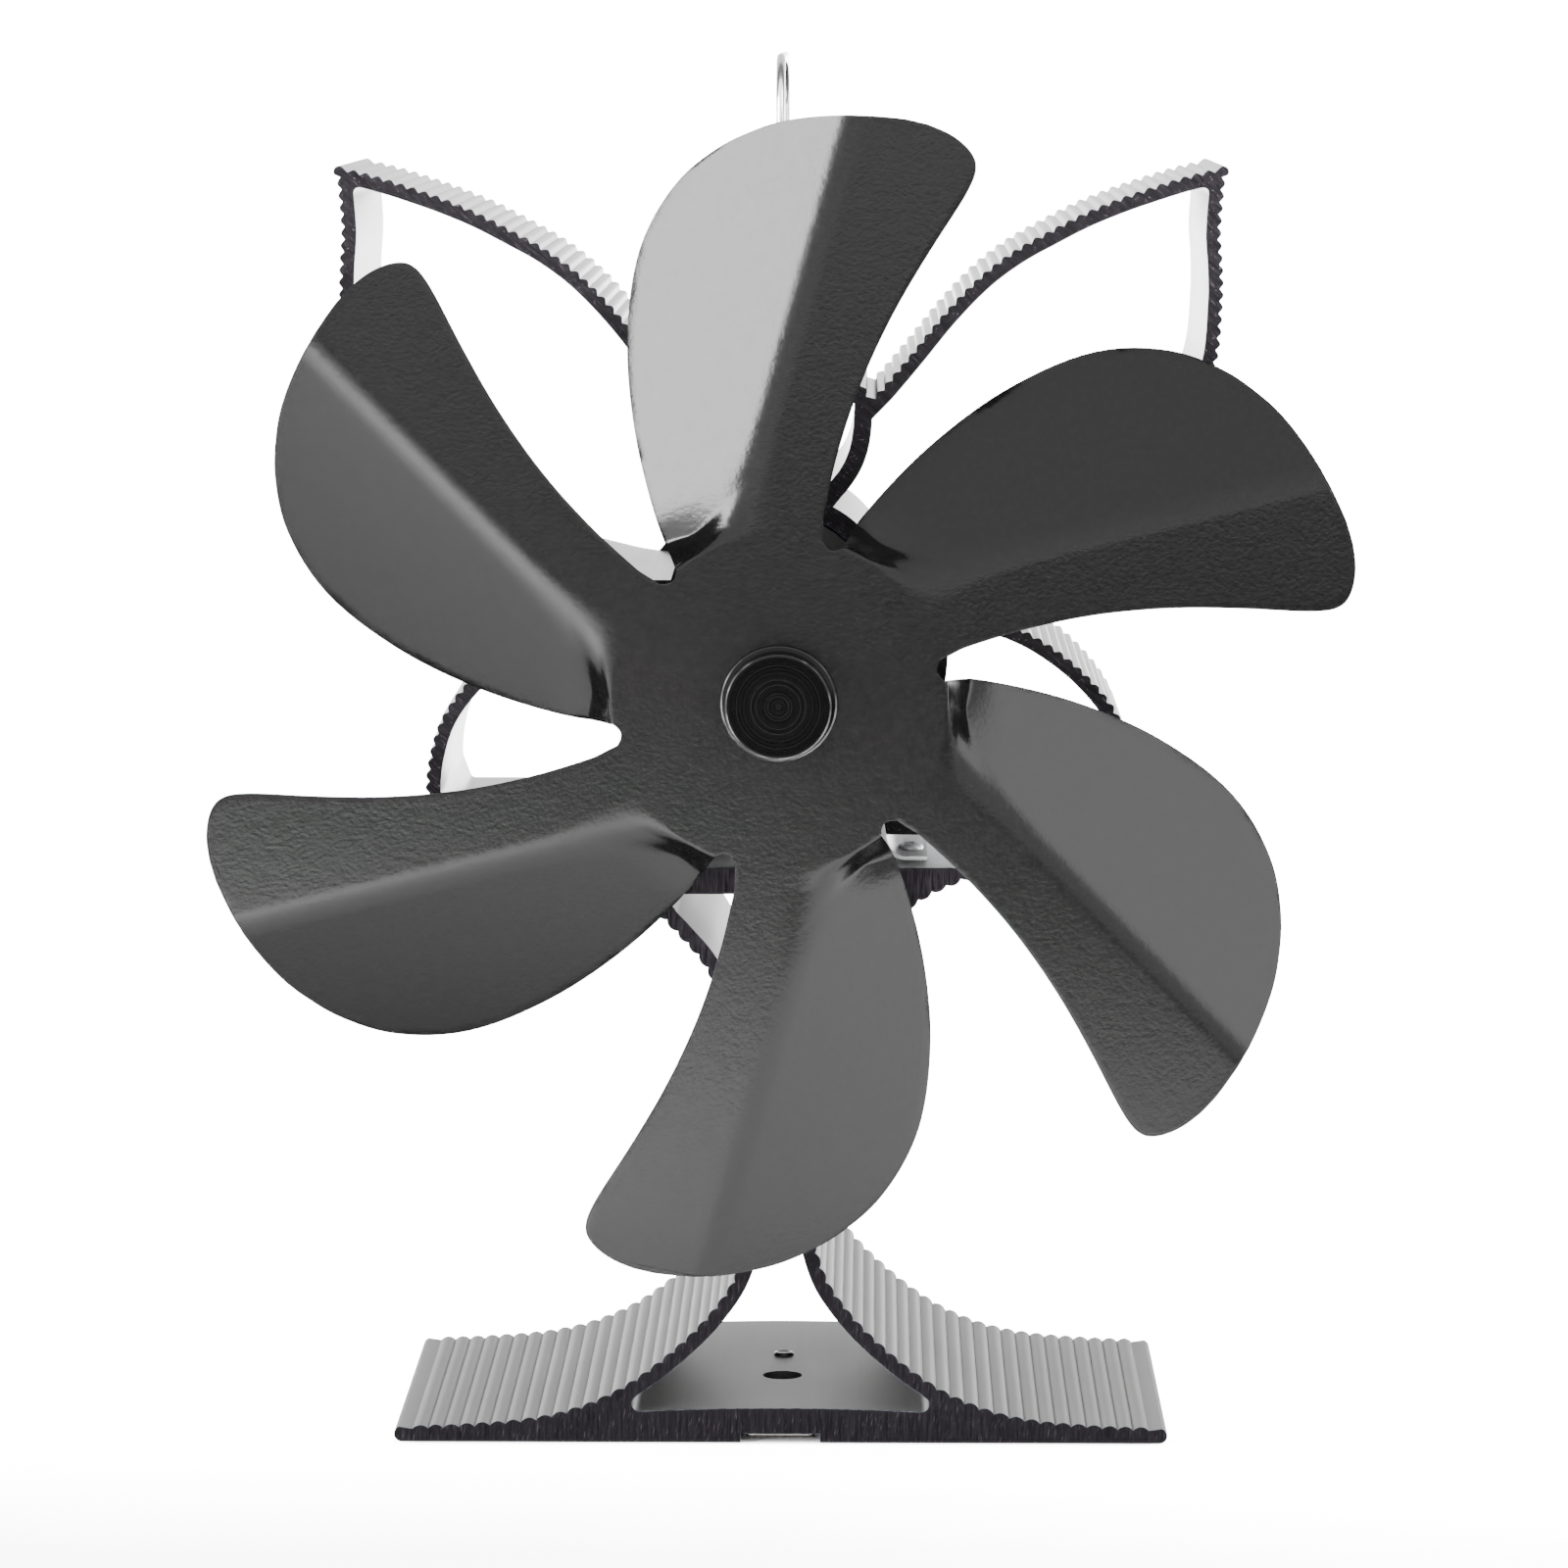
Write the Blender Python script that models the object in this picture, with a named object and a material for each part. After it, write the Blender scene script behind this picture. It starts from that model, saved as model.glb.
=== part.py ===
"""Heat-powered stove fan: ribbed aluminium base, thermoelectric module, ribbed upper heat sink,
small DC motor, six-blade sheet fan, wire handle and bimetal safety strip.

Metres, +Z up. The front, where the fan turns, is towards -Y. The origin is at the middle of the
floor area that the whole object covers. The fan turns about an axis along Y.
"""

import math

import bmesh
import bpy
from mathutils import Matrix, Vector

# Fits shared by every piece
GAP = 0.0003
OVERRUN = 0.001
TURN_STEPS = 28
SMALL_STEPS = 14

# Lower extrusion, the base that stands on the stove
BASE_WIDTH = 0.1276
BASE_DEPTH = 0.070
BASE_HEIGHT = 0.0957
BASE_END_HEIGHT = 0.0026
FLOOR_THICKNESS = 0.0056
TOP_PLATE_WIDTH = 0.0625
TOP_PLATE_THICKNESS = 0.0044
TOP_PLATE_LIP = 0.0012
BASE_WALL = 0.0026
BASE_RIB_PITCH = 0.00255
BASE_RIB_HEIGHT = 0.00055
BASE_APEX_WIDTH = 0.0056
CAVITY_CORNER = 0.0012
# Right-hand side of the base's front face: share of the half width, share of the height
BASE_SIDE_SHARES = (
    (0.952, 0.029),
    (0.832, 0.032),
    (0.670, 0.041),
    (0.548, 0.058),
    (0.437, 0.088),
    (0.341, 0.129),
    (0.241, 0.186),
    (0.175, 0.234),
    (0.124, 0.285),
    (0.094, 0.345),
    (0.075, 0.414),
    (0.067, 0.503),
    (0.075, 0.591),
    (0.097, 0.665),
    (0.137, 0.748),
    (0.195, 0.827),
    (0.252, 0.874),
    (0.326, 0.924),
    (0.391, 0.953),
    (0.465, 0.975),
)

# Safety strip in the groove under the base
GROOVE_WIDTH = 0.013
GROOVE_DEPTH = 0.0015
STRIP_WIDTH = 0.011
STRIP_THICKNESS = 0.0005
STRIP_TAIL = 0.006
RIVET_INSET = 0.042
RIVET_RADIUS = 0.0012
RIVET_HEAD_RADIUS = 0.0024
RIVET_HEAD_THICKNESS = 0.0003
ACCESS_HOLE_INSET = 0.0255
ACCESS_HOLE_RADIUS = 0.0033

# Thermoelectric module and the sheets on both sides of it
MODULE_SIZE = 0.030
PAD_THICKNESS = 0.0003
CERAMIC_THICKNESS = 0.0006
LEG_HEIGHT = 0.0010
LEG_SIZE = 0.0018
LEGS_PER_SIDE = 7
LEG_LINK_THICKNESS = 0.0002
SEAL_WIDTH = 0.0012
STACK_HEIGHT = 2 * PAD_THICKNESS + 2 * CERAMIC_THICKNESS + LEG_HEIGHT + 6 * GAP

# Upper extrusion
SINK_SPAN = 0.1451
SINK_HEIGHT = 0.1091
SINK_DEPTH = 0.057
SINK_WALL = 0.0025
SINK_RIB_PITCH = 0.00206
SINK_RIB_HEIGHT = 0.0006
FOOT_THICKNESS = 0.0040
CELL_WIDTH = 0.0306
CELL_ARCH_HEIGHT = 0.0374
CELL_WALL = 0.0032
ARM_WALL = 0.0030
ARM_START_ANGLE = 19.0
ARM_LEAN_ANGLE = 49.0
TIP_NUB_RADIUS = 0.0013
PIVOT_BOSS_RADIUS = 0.0026
# Outline tables of the upper extrusion: share of the half span, share of the height
PETAL_SHARES = ((0.032, 0.870), (0.074, 0.814), (0.125, 0.754), (0.169, 0.697), (0.199, 0.661))
WING_TOP_SHARES = (
    (0.207, 0.658),
    (0.233, 0.677),
    (0.291, 0.723),
    (0.367, 0.785),
    (0.445, 0.838),
    (0.521, 0.876),
    (0.599, 0.905),
    (0.675, 0.931),
    (0.751, 0.952),
    (0.828, 0.970),
    (0.905, 0.986),
    (0.966, 0.996),
)
WING_SIDE_SHARES = (
    (0.990, 0.961),
    (0.984, 0.901),
    (0.989, 0.847),
    (0.989, 0.794),
    (0.977, 0.709),
    (0.929, 0.617),
    (0.833, 0.528),
    (0.691, 0.450),
    (0.524, 0.398),
    (0.375, 0.370),
    (0.302, 0.361),
)
LOWER_PETAL_SHARES = (
    (0.300, 0.346),
    (0.403, 0.338),
    (0.532, 0.314),
    (0.635, 0.274),
    (0.715, 0.225),
    (0.767, 0.176),
    (0.795, 0.119),
    (0.803, 0.063),
    (0.786, 0.025),
)
PETAL_BOTTOM_RADIUS = 0.0034

# Turning axis and the motor
AXIS_HEIGHT = 0.0242
MOTOR_RADIUS = 0.0122
MOTOR_LENGTH = 0.026
MOTOR_REACH = 0.0025
MOTOR_WALL = 0.0008
SHAFT_RADIUS = 0.0010
BEARING_RADIUS = 0.0030
BEARING_LENGTH = 0.0032
BEARING_REACH = 0.0012
MAGNET_THICKNESS = 0.0018
MAGNET_LENGTH = 0.015
MAGNET_SPAN_ANGLE = 130.0
CORE_RADIUS = 0.0086
CORE_LENGTH = 0.012
CORE_NECK_WIDTH = 0.0026
CORE_HUB_RADIUS = 0.0026
CORE_SHOE_THICKNESS = 0.0012
CORE_SHOE_ANGLE = 96.0
POLE_ANGLES = (90, 210, 330)
COIL_THICKNESS = 0.0011
COIL_HEIGHT = 0.0030
COMMUTATOR_RADIUS = 0.0028
COMMUTATOR_LENGTH = 0.0026
COMMUTATOR_SPAN_ANGLE = 106.0
COMMUTATOR_SLOT_DEPTH = 0.0007
BRUSH_WIDTH = 0.0018
BRUSH_LENGTH = 0.0040
END_CAP_THICKNESS = 0.0022
TERMINAL_OFFSET = 0.0050
TERMINAL_LENGTH = 0.0065
TERMINAL_WIDTH = 0.0020
TERMINAL_THICKNESS = 0.0005
HOLDER_SETBACK = 0.0005
WIRE_WELL_RADIUS = 0.0080
COVER_RADIUS = 0.0280
COVER_THICKNESS = 0.0045
COVER_FLOOR = 0.0018
COVER_RIM = 0.0030
COVER_ROUND = 0.0012
COVER_NOTCH_WIDTH = 0.0120
COVER_SCREW_OFFSET = 0.0165
COVER_SCREW_RADIUS = 0.0011
COVER_SCREW_DEPTH = 0.0080
COVER_HEAD_RADIUS = 0.0022
COVER_HEAD_HEIGHT = 0.0014

# Fan, boss and cap
SHEET_TO_BASE = 0.0165
FAN_RADIUS = 0.0951
SHEET_THICKNESS = 0.0006
BLADE_COUNT = 6
FOLD_ANGLE = 27.0
FOLD_DIRECTION_ANGLE = 14.2
FOLD_OFFSET = 0.01406
FOLD_SOFTNESS = 0.0022
ROOT_STEP = 0.0024
NOTCH_DEPTH = 0.0010
HUB_RING_SHARES = (0.45, 0.80)
# Blade edges: share of the fan radius, angle of the leading edge, angle of the folded edge
BLADE_EDGE_SHARES = (
    (0.2815, 15.0, 67.5),
    (0.3000, 15.8, 66.9),
    (0.3355, 16.7, 65.6),
    (0.4200, 16.8, 62.0),
    (0.5320, 15.9, 57.7),
    (0.6600, 14.0, 52.9),
    (0.7900, 11.7, 47.4),
    (0.8800, 10.2, 41.6),
    (0.9430, 9.6, 35.0),
    (0.9750, 9.8, 28.6),
    (0.9890, 10.8, 22.0),
    (1.0000, 13.2, 15.6),
)
BOSS_FLANGE_RADIUS = 0.0080
BOSS_FLANGE_THICKNESS = 0.0012
BOSS_RADIUS = 0.0046
BOSS_LENGTH = 0.0076
SPIGOT_RADIUS = 0.0032
SPIGOT_REACH = 0.0032
SET_SCREW_RADIUS = 0.0012
CAP_RADIUS = 0.00935
CAP_LENGTH = 0.0060
CAP_RIM_RADIUS = 0.0085
CAP_RIM_STEP = 0.0010
CAP_GROOVE_SHARES = (0.28, 0.53, 0.74)
CAP_GROOVE_WIDTH = 0.0005
CAP_GROOVE_DEPTH = 0.0004

# Clamping screws, from the base's upper cavity into the foot
CLAMP_SCREW_INSET = 0.0065
CLAMP_SCREW_RADIUS = 0.0015
CLAMP_HEAD_RADIUS = 0.0027
CLAMP_HEAD_HEIGHT = 0.0024
CLAMP_GRIP = 0.0028
SPRING_WASHER_THICKNESS = 0.0008
INSULATOR_THICKNESS = 0.0010
WASHER_RADIUS = 0.0032

# Sheet brackets beside the module
BRACKET_THICKNESS = 0.0008
BRACKET_REACH = 0.0240
BRACKET_LEG_LEAN = 0.0012
BRACKET_FRONT = 0.0040
BRACKET_TAB_HEIGHT = 0.0070
BRACKET_SCREW_REACH = 0.0213
BRACKET_SCREW_INSET = 0.0090
BRACKET_SCREW_RADIUS = 0.0012
BRACKET_SCREW_LENGTH = 0.0030
BRACKET_HEAD_RADIUS = 0.0022
BRACKET_HEAD_HEIGHT = 0.0012

# Module leads
LEAD_RADIUS = 0.0006
LEAD_SPACING = 0.0040
LEAD_BEND = 0.0024

# Handle
HANDLE_WIRE_RADIUS = 0.00075
HANDLE_RISE = 0.0316
HANDLE_BEND = 0.0084
HANDLE_FOOT_BEND = 0.0014
HANDLE_STANDOFF = 0.0012
HANDLE_GRIP = 0.0050

# Places worked out from the sizes above
CAP_TO_BASE = SHEET_TO_BASE + GAP + CAP_LENGTH
BASE_FRONT = CAP_TO_BASE - (CAP_TO_BASE + BASE_DEPTH) / 2
BASE_BACK = BASE_FRONT + BASE_DEPTH
SHEET_FRONT = BASE_FRONT - SHEET_TO_BASE
SHEET_BACK = SHEET_FRONT + SHEET_THICKNESS
SINK_FRONT = BASE_FRONT + (BASE_DEPTH - SINK_DEPTH) / 2
SINK_BACK = SINK_FRONT + SINK_DEPTH
SINK_BOTTOM = BASE_HEIGHT + STACK_HEIGHT
MODULE_MIDDLE = BASE_FRONT + BASE_DEPTH / 2
AXIS_Z = SINK_BOTTOM + AXIS_HEIGHT
ARCH_Z = SINK_BOTTOM + CELL_ARCH_HEIGHT
FAN_AXIS = Vector((0, SHEET_FRONT, AXIS_Z))
PIVOT_Z = SINK_BOTTOM + PETAL_SHARES[0][1] * SINK_HEIGHT
HANDLE_AXIS = Vector((0, SINK_FRONT, PIVOT_Z))
STRIP_Z = GROOVE_DEPTH - GAP - STRIP_THICKNESS / 2
STRIP_AXIS = Vector((0, BASE_FRONT + RIVET_INSET, STRIP_Z))
MOTOR_FRONT = SINK_FRONT - MOTOR_REACH
MOTOR_BACK = MOTOR_FRONT + MOTOR_LENGTH
SIDES = (("left", -1), ("right", 1))
HOLDER_HALF = CELL_WIDTH / 2 - GAP
HOLDER_BORE = MOTOR_RADIUS + GAP


def clear_scene():
    for found in list(bpy.data.objects):
        bpy.data.objects.remove(found)


def painted(name, colour, roughness, metallic):
    material = bpy.data.materials.new(name)
    material.use_nodes = True
    shader = material.node_tree.nodes["Principled BSDF"]
    shader.inputs["Base Color"].default_value = (*colour, 1)
    shader.inputs["Roughness"].default_value = roughness
    shader.inputs["Metallic"].default_value = metallic
    material.diffuse_color = (*colour, 1)
    return material


def axis_empty(name, place):
    empty = bpy.data.objects.new(name, None)
    empty.location = place
    bpy.context.scene.collection.objects.link(empty)
    return empty


def add_mesh(name, mesh, material=None, axis=None):
    """An object of this bmesh, drawn in world places, with its origin on the axis if it has one."""
    bmesh.ops.recalc_face_normals(mesh, faces=mesh.faces)
    if axis:
        bmesh.ops.translate(mesh, verts=mesh.verts, vec=-axis.location)
    data = bpy.data.meshes.new(name)
    mesh.to_mesh(data)
    mesh.free()
    data.shade_smooth()
    data.set_sharp_from_angle(angle=math.radians(32))
    made = bpy.data.objects.new(name, data)
    bpy.context.scene.collection.objects.link(made)
    if material:
        data.materials.append(material)
    made.parent = axis
    return made


def cut(target, cutter, operation="DIFFERENCE"):
    cutter.hide_render = True
    cutter.display_type = "WIRE"
    modifier = target.modifiers.new(cutter.name, "BOOLEAN")
    modifier.operation = operation
    modifier.solver = "EXACT"
    modifier.object = cutter


def through(points, steps):
    """Points along a smooth curve that passes through each of the points."""
    line = [Vector(p) for p in points]
    line = [2 * line[0] - line[1], *line, 2 * line[-1] - line[-2]]
    found = []
    for a, b, c, d in zip(line, line[1:], line[2:], line[3:]):
        for step in range(steps):
            t = step / steps
            found.append(
                b
                + 0.5 * t * (c - a)
                + t * t * (a - 2.5 * b + 2 * c - 0.5 * d)
                + t**3 * (1.5 * (b - c) + 0.5 * (d - a))
            )
    return [*found, line[-2]]


def evenly(line, count):
    """The line again, as count equal steps along its length."""
    lengths = [(b - a).length for a, b in zip(line, line[1:])]
    step = sum(lengths) / count
    found = [line[0]]
    walked = 0
    for a, b, length in zip(line, line[1:], lengths):
        while len(found) < count and walked + length >= step * len(found):
            found.append(a.lerp(b, (step * len(found) - walked) / length))
        walked += length
    return [*found, line[-1]]


def run_length(line):
    return sum((b - a).length for a, b in zip(line, line[1:]))


def shifted(line, distance):
    """The line moved sideways, to the right of its direction where distance is positive."""
    found = []
    for place, point in enumerate(line):
        ahead = line[min(place + 1, len(line) - 1)] - line[max(place - 1, 0)]
        found.append(point + Vector((ahead.y, -ahead.x)).normalized() * distance)
    return found


def ribbed(line, pitch, height, sign):
    """A row of small ribs whose tops touch the line, with three points to a rib."""
    count = max(1, round(run_length(line) / pitch))
    tops = evenly(line, 3 * count)
    roots = shifted(tops, sign * height)
    return [roots[n] if n % 3 == 0 else tops[n] for n in range(len(tops))]


def scaled(shares, width, height, bottom):
    return [Vector((x * width, bottom + z * height)) for x, z in shares]


def arc(centre, radius, start, end, steps):
    """Points on a circle, with the angles in degrees from +X towards +Z."""
    found = []
    for step in range(steps + 1):
        angle = math.radians(start + (end - start) * step / steps)
        found.append(Vector(centre) + radius * Vector((math.cos(angle), math.sin(angle))))
    return found


def mirrored(line):
    return [Vector((-p.x, p.y)) for p in reversed(line)]


def closed_pair(line):
    """A loop from its right-hand half, which starts and ends near the middle."""
    return [*line, *mirrored(line)]


def extruded(loops, start, depth):
    """A bmesh of the first loop, less the others, run back along Y."""
    mesh = bmesh.new()
    edges = []
    for loop in loops:
        corners = [mesh.verts.new((p[0], start, p[1])) for p in loop]
        edges += [mesh.edges.new(pair) for pair in zip(corners, corners[1:] + corners[:1])]
    bmesh.ops.triangle_fill(mesh, edges=edges, use_beauty=True)
    moved = bmesh.ops.extrude_face_region(mesh, geom=mesh.faces[:])["geom"]
    corners = [v for v in moved if isinstance(v, bmesh.types.BMVert)]
    bmesh.ops.translate(mesh, verts=corners, vec=(0, depth, 0))
    return mesh


def block(low, high):
    mesh = bmesh.new()
    add_block(mesh, low, high)
    return mesh


def add_block(mesh, low, high):
    low, high = Vector(low), Vector(high)
    size = high - low
    place = Matrix.Translation((low + high) / 2) @ Matrix.Diagonal((*size, 1))
    bmesh.ops.create_cube(mesh, size=1, matrix=place)


def add_turned(mesh, profile, centre, direction, steps):
    """A closed outline of (radius, distance) turned about a line through centre."""
    turn = Vector((0, 0, 1)).rotation_difference(Vector(direction)).to_matrix()
    rings = []
    for radius, along in profile:
        count = steps if radius > 0 else 1
        ring = []
        for step in range(count):
            angle = 2 * math.pi * step / count
            local = Vector((radius * math.cos(angle), radius * math.sin(angle), along))
            ring.append(mesh.verts.new(Vector(centre) + turn @ local))
        rings.append(ring)
    for one, two in zip(rings, rings[1:] + rings[:1]):
        if len(one) == len(two) == 1:
            continue
        for step in range(steps):
            after = (step + 1) % steps
            corners = [one[step % len(one)], one[after % len(one)]]
            corners += [two[after % len(two)], two[step % len(two)]]
            mesh.faces.new(dict.fromkeys(corners))


def turned(profile, centre, direction=(0, 1, 0), steps=TURN_STEPS):
    mesh = bmesh.new()
    add_turned(mesh, profile, centre, direction, steps)
    return mesh


def tube_profile(inner, outer, start, end):
    if inner > 0:
        return [(inner, start), (outer, start), (outer, end), (inner, end)]
    return [(0, start), (outer, start), (outer, end), (0, end)]


def ring_piece(inner, outer, length, centre, direction=(0, 1, 0), steps=TURN_STEPS):
    return turned(tube_profile(inner, outer, 0, length), centre, direction, steps)


def drill(target, name, radius, centre, direction, length):
    """A hole of this length from centre, which starts a little before it."""
    profile = tube_profile(0, radius, -OVERRUN, length)
    cut(target, add_mesh(name, turned(profile, centre, direction, SMALL_STEPS)))


def screw_profile(head_radius, head_height, radius, length):
    """A screw that points along its axis, with the underside of its head at distance 0."""
    rim = head_height / 3
    return [
        (0, -head_height),
        (head_radius - rim, -head_height),
        (head_radius, rim - head_height),
        (head_radius, 0),
        (radius, 0),
        (radius, length),
        (0, length),
    ]


def cavity_loop(side, low, high, upward):
    """The symmetric cavity between two heights inside the side line, pointed at one end."""
    half = BASE_APEX_WIDTH / 2
    sign = 1 if upward else -1
    kept = [p for p in shifted(side, -BASE_WALL) if low < p.y < high and p.x > half]
    wall = kept if upward else kept[::-1]
    level = low if upward else high
    corner = [Vector((wall[0].x - CAVITY_CORNER, level))]
    apex = wall[-1] + Vector((-0.6 * half, 0.9 * sign * half))
    return closed_pair([*corner, *wall, apex])


def base_loops():
    half = BASE_WIDTH / 2
    side = through(scaled(BASE_SIDE_SHARES, half, BASE_HEIGHT, 0), 6)
    row = ribbed(side, BASE_RIB_PITCH, BASE_RIB_HEIGHT, -1)
    toe = BASE_END_HEIGHT / 2
    toe_end = arc((half - toe, toe), toe, -90, 70, 6)
    lip = TOP_PLATE_LIP
    top_end = arc((TOP_PLATE_WIDTH / 2 - lip, BASE_HEIGHT - lip), lip, -50, 90, 5)
    groove = [Vector((GROOVE_WIDTH / 2, GROOVE_DEPTH)), Vector((GROOVE_WIDTH / 2, 0))]
    outer = closed_pair([*groove, *toe_end, *row, *top_end])
    middle = BASE_HEIGHT / 2
    lower = cavity_loop(side, FLOOR_THICKNESS, middle, True)
    upper = cavity_loop(side, middle, BASE_HEIGHT - TOP_PLATE_THICKNESS, False)
    return [outer, lower, upper]


def clamp_screw_places():
    inset = CLAMP_SCREW_INSET
    return (("front", SINK_FRONT + inset), ("rear", SINK_BACK - inset))


def bracket_screw_places():
    front = BASE_FRONT + BRACKET_FRONT + BRACKET_SCREW_INSET
    rear = SINK_BACK - BRACKET_SCREW_INSET
    return [
        (f"{hand}_{end}", side * BRACKET_SCREW_REACH, y)
        for hand, side in SIDES
        for end, y in (("front", front), ("rear", rear))
    ]


def make_base():
    black = painted("black_anodised_base", (0.03, 0.03, 0.035), 0.42, 0.9)
    base = add_mesh("base_heat_sink", extruded(base_loops(), BASE_FRONT, BASE_DEPTH), black)
    up = (0, 0, 1)
    rivet = (0, STRIP_AXIS.y, 0)
    drill(base, "rivet_hole", RIVET_RADIUS + GAP, rivet, up, FLOOR_THICKNESS + OVERRUN)
    access = (0, BASE_FRONT + ACCESS_HOLE_INSET, 0)
    drill(base, "access_hole", ACCESS_HOLE_RADIUS, access, up, FLOOR_THICKNESS + OVERRUN)
    under = BASE_HEIGHT - TOP_PLATE_THICKNESS
    for end, y in clamp_screw_places():
        hole = CLAMP_SCREW_RADIUS + GAP
        length = TOP_PLATE_THICKNESS + OVERRUN
        drill(base, f"clamp_hole_{end}", hole, (0, y, under), up, length)
    for where, x, y in bracket_screw_places():
        hole = BRACKET_SCREW_RADIUS + GAP
        length = BRACKET_SCREW_LENGTH
        top = (x, y, BASE_HEIGHT)
        drill(base, f"bracket_hole_{where}", hole, top, (0, 0, -1), length)


def make_strip(axis):
    steel = painted("bimetal_strip", (0.62, 0.60, 0.56), 0.35, 1.0)
    half = STRIP_WIDTH / 2
    thick = STRIP_THICKNESS / 2
    front = BASE_FRONT + GAP
    back = STRIP_AXIS.y + STRIP_TAIL
    low, high = (-half, front, STRIP_Z - thick), (half, back, STRIP_Z + thick)
    strip = add_mesh("bimetal_strip", block(low, high), steel, axis)
    profile = tube_profile(0, RIVET_RADIUS + GAP, -OVERRUN, OVERRUN)
    hole = turned(profile, STRIP_AXIS, (0, 0, 1), SMALL_STEPS)
    cut(strip, add_mesh("strip_hole", hole, None, axis))

    rivet_steel = painted("rivet", (0.55, 0.55, 0.56), 0.3, 1.0)
    head_top = STRIP_Z - thick - GAP
    head_bottom = head_top - RIVET_HEAD_THICKNESS
    collar = FLOOR_THICKNESS + GAP
    profile = [
        (0, head_bottom),
        (RIVET_HEAD_RADIUS, head_bottom),
        (RIVET_HEAD_RADIUS, head_top),
        (RIVET_RADIUS, head_top),
        (RIVET_RADIUS, collar),
        (RIVET_HEAD_RADIUS, collar),
        (RIVET_RADIUS, collar + 2 * RIVET_HEAD_THICKNESS),
        (0, collar + 2 * RIVET_HEAD_THICKNESS),
    ]
    place = (0, STRIP_AXIS.y, 0)
    add_mesh("strip_rivet", turned(profile, place, (0, 0, 1), SMALL_STEPS), rivet_steel)


def module_sheet(name, bottom, thickness, inset, material):
    half = MODULE_SIZE / 2 - inset
    low = (-half, MODULE_MIDDLE - half, bottom)
    high = (half, MODULE_MIDDLE + half, bottom + thickness)
    add_mesh(name, block(low, high), material)
    return bottom + thickness + GAP


def make_module():
    """The sheets from the top plate upward, each a gap above the one below."""
    graphite = painted("graphite_sheet", (0.10, 0.10, 0.11), 0.6, 0.2)
    ceramic = painted("alumina_ceramic", (0.82, 0.82, 0.80), 0.5, 0.0)
    level = BASE_HEIGHT + GAP
    level = module_sheet("lower_thermal_pad", level, PAD_THICKNESS, GAP, graphite)
    level = module_sheet("hot_side_ceramic", level, CERAMIC_THICKNESS, 0, ceramic)
    make_legs(level)
    level += LEG_HEIGHT + GAP
    level = module_sheet("cold_side_ceramic", level, CERAMIC_THICKNESS, 0, ceramic)
    module_sheet("upper_thermal_pad", level, PAD_THICKNESS, GAP, graphite)


def leg_row(middle, y, half, level, row):
    """Outline of one row of legs, which are linked in turn at the bottom and at the top."""
    link = LEG_LINK_THICKNESS
    top = level + LEG_HEIGHT
    over, under = [], []
    for column, x in enumerate(middle):
        high = (column + row) % 2 == 0
        over.append(Vector((x - half, top)))
        over.append(Vector((x + half, top)))
        under.append(Vector((x - half, level)))
        under.append(Vector((x + half, level)))
        if column + 1 < len(middle):
            near, far = x + half, middle[column + 1] - half
            if high:
                under += [Vector((near, top - link)), Vector((far, top - link))]
            else:
                over += [Vector((near, level + link)), Vector((far, level + link))]
    return extruded([over + under[::-1]], y - half, 2 * half)


def make_legs(level):
    telluride = painted("bismuth_telluride", (0.20, 0.20, 0.22), 0.35, 0.8)
    silicone = painted("silicone_seal", (0.80, 0.80, 0.78), 0.7, 0.0)
    outer = MODULE_SIZE / 2 - GAP
    inner = outer - SEAL_WIDTH
    half = LEG_SIZE / 2
    reach = inner - GAP - half
    middle = [reach * (2 * n / (LEGS_PER_SIDE - 1) - 1) for n in range(LEGS_PER_SIDE)]
    legs = None
    for row, along in enumerate(middle):
        solid = leg_row(middle, MODULE_MIDDLE + along, half, level, row)
        if legs is None:
            legs = add_mesh("thermocouple_legs", solid, telluride)
        else:
            cut(legs, add_mesh(f"leg_row_{row}", solid), "UNION")
        if row:
            x = reach * (1 if row % 2 else -1)
            low = (x - half, MODULE_MIDDLE + middle[row - 1], level)
            high = (x + half, MODULE_MIDDLE + along, level + LEG_LINK_THICKNESS)
            cut(legs, add_mesh(f"row_link_{row}", block(low, high)), "UNION")
    low = (-outer, MODULE_MIDDLE - outer, level)
    high = (outer, MODULE_MIDDLE + outer, level + LEG_HEIGHT)
    seal = add_mesh("module_seal", block(low, high), silicone)
    low = (-inner, MODULE_MIDDLE - inner, level - OVERRUN)
    high = (inner, MODULE_MIDDLE + inner, level + LEG_HEIGHT + OVERRUN)
    cut(seal, add_mesh("seal_opening", block(low, high)))


def arm_line():
    """Middle line of the wall from the motor cell's arch to the foot of the right wing."""
    middle = CELL_WIDTH / 2 + CELL_WALL / 2
    start = arc((0, ARCH_Z), middle, 90 - ARM_START_ANGLE, 90, 1)[0]
    end = scaled(PETAL_SHARES, SINK_SPAN / 2, SINK_HEIGHT, SINK_BOTTOM)[-1]
    end = end - Vector((ARM_WALL / 3, ARM_WALL / 2))
    reach = 0.45 * (end - start).length
    lean = math.radians(ARM_LEAN_ANGLE)
    first = start + reach * Vector((math.sin(lean), math.cos(lean)))
    last = end - Vector((0, reach))
    found = []
    steps = 10
    for step in range(steps + 1):
        t = step / steps
        ends = (1 - t) ** 3 * start + t**3 * end
        found.append(ends + 3 * t * (1 - t) * ((1 - t) * first + t * last))
    return found


def right_of(line, limit):
    return [p for p in line if p.x > limit]


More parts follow.
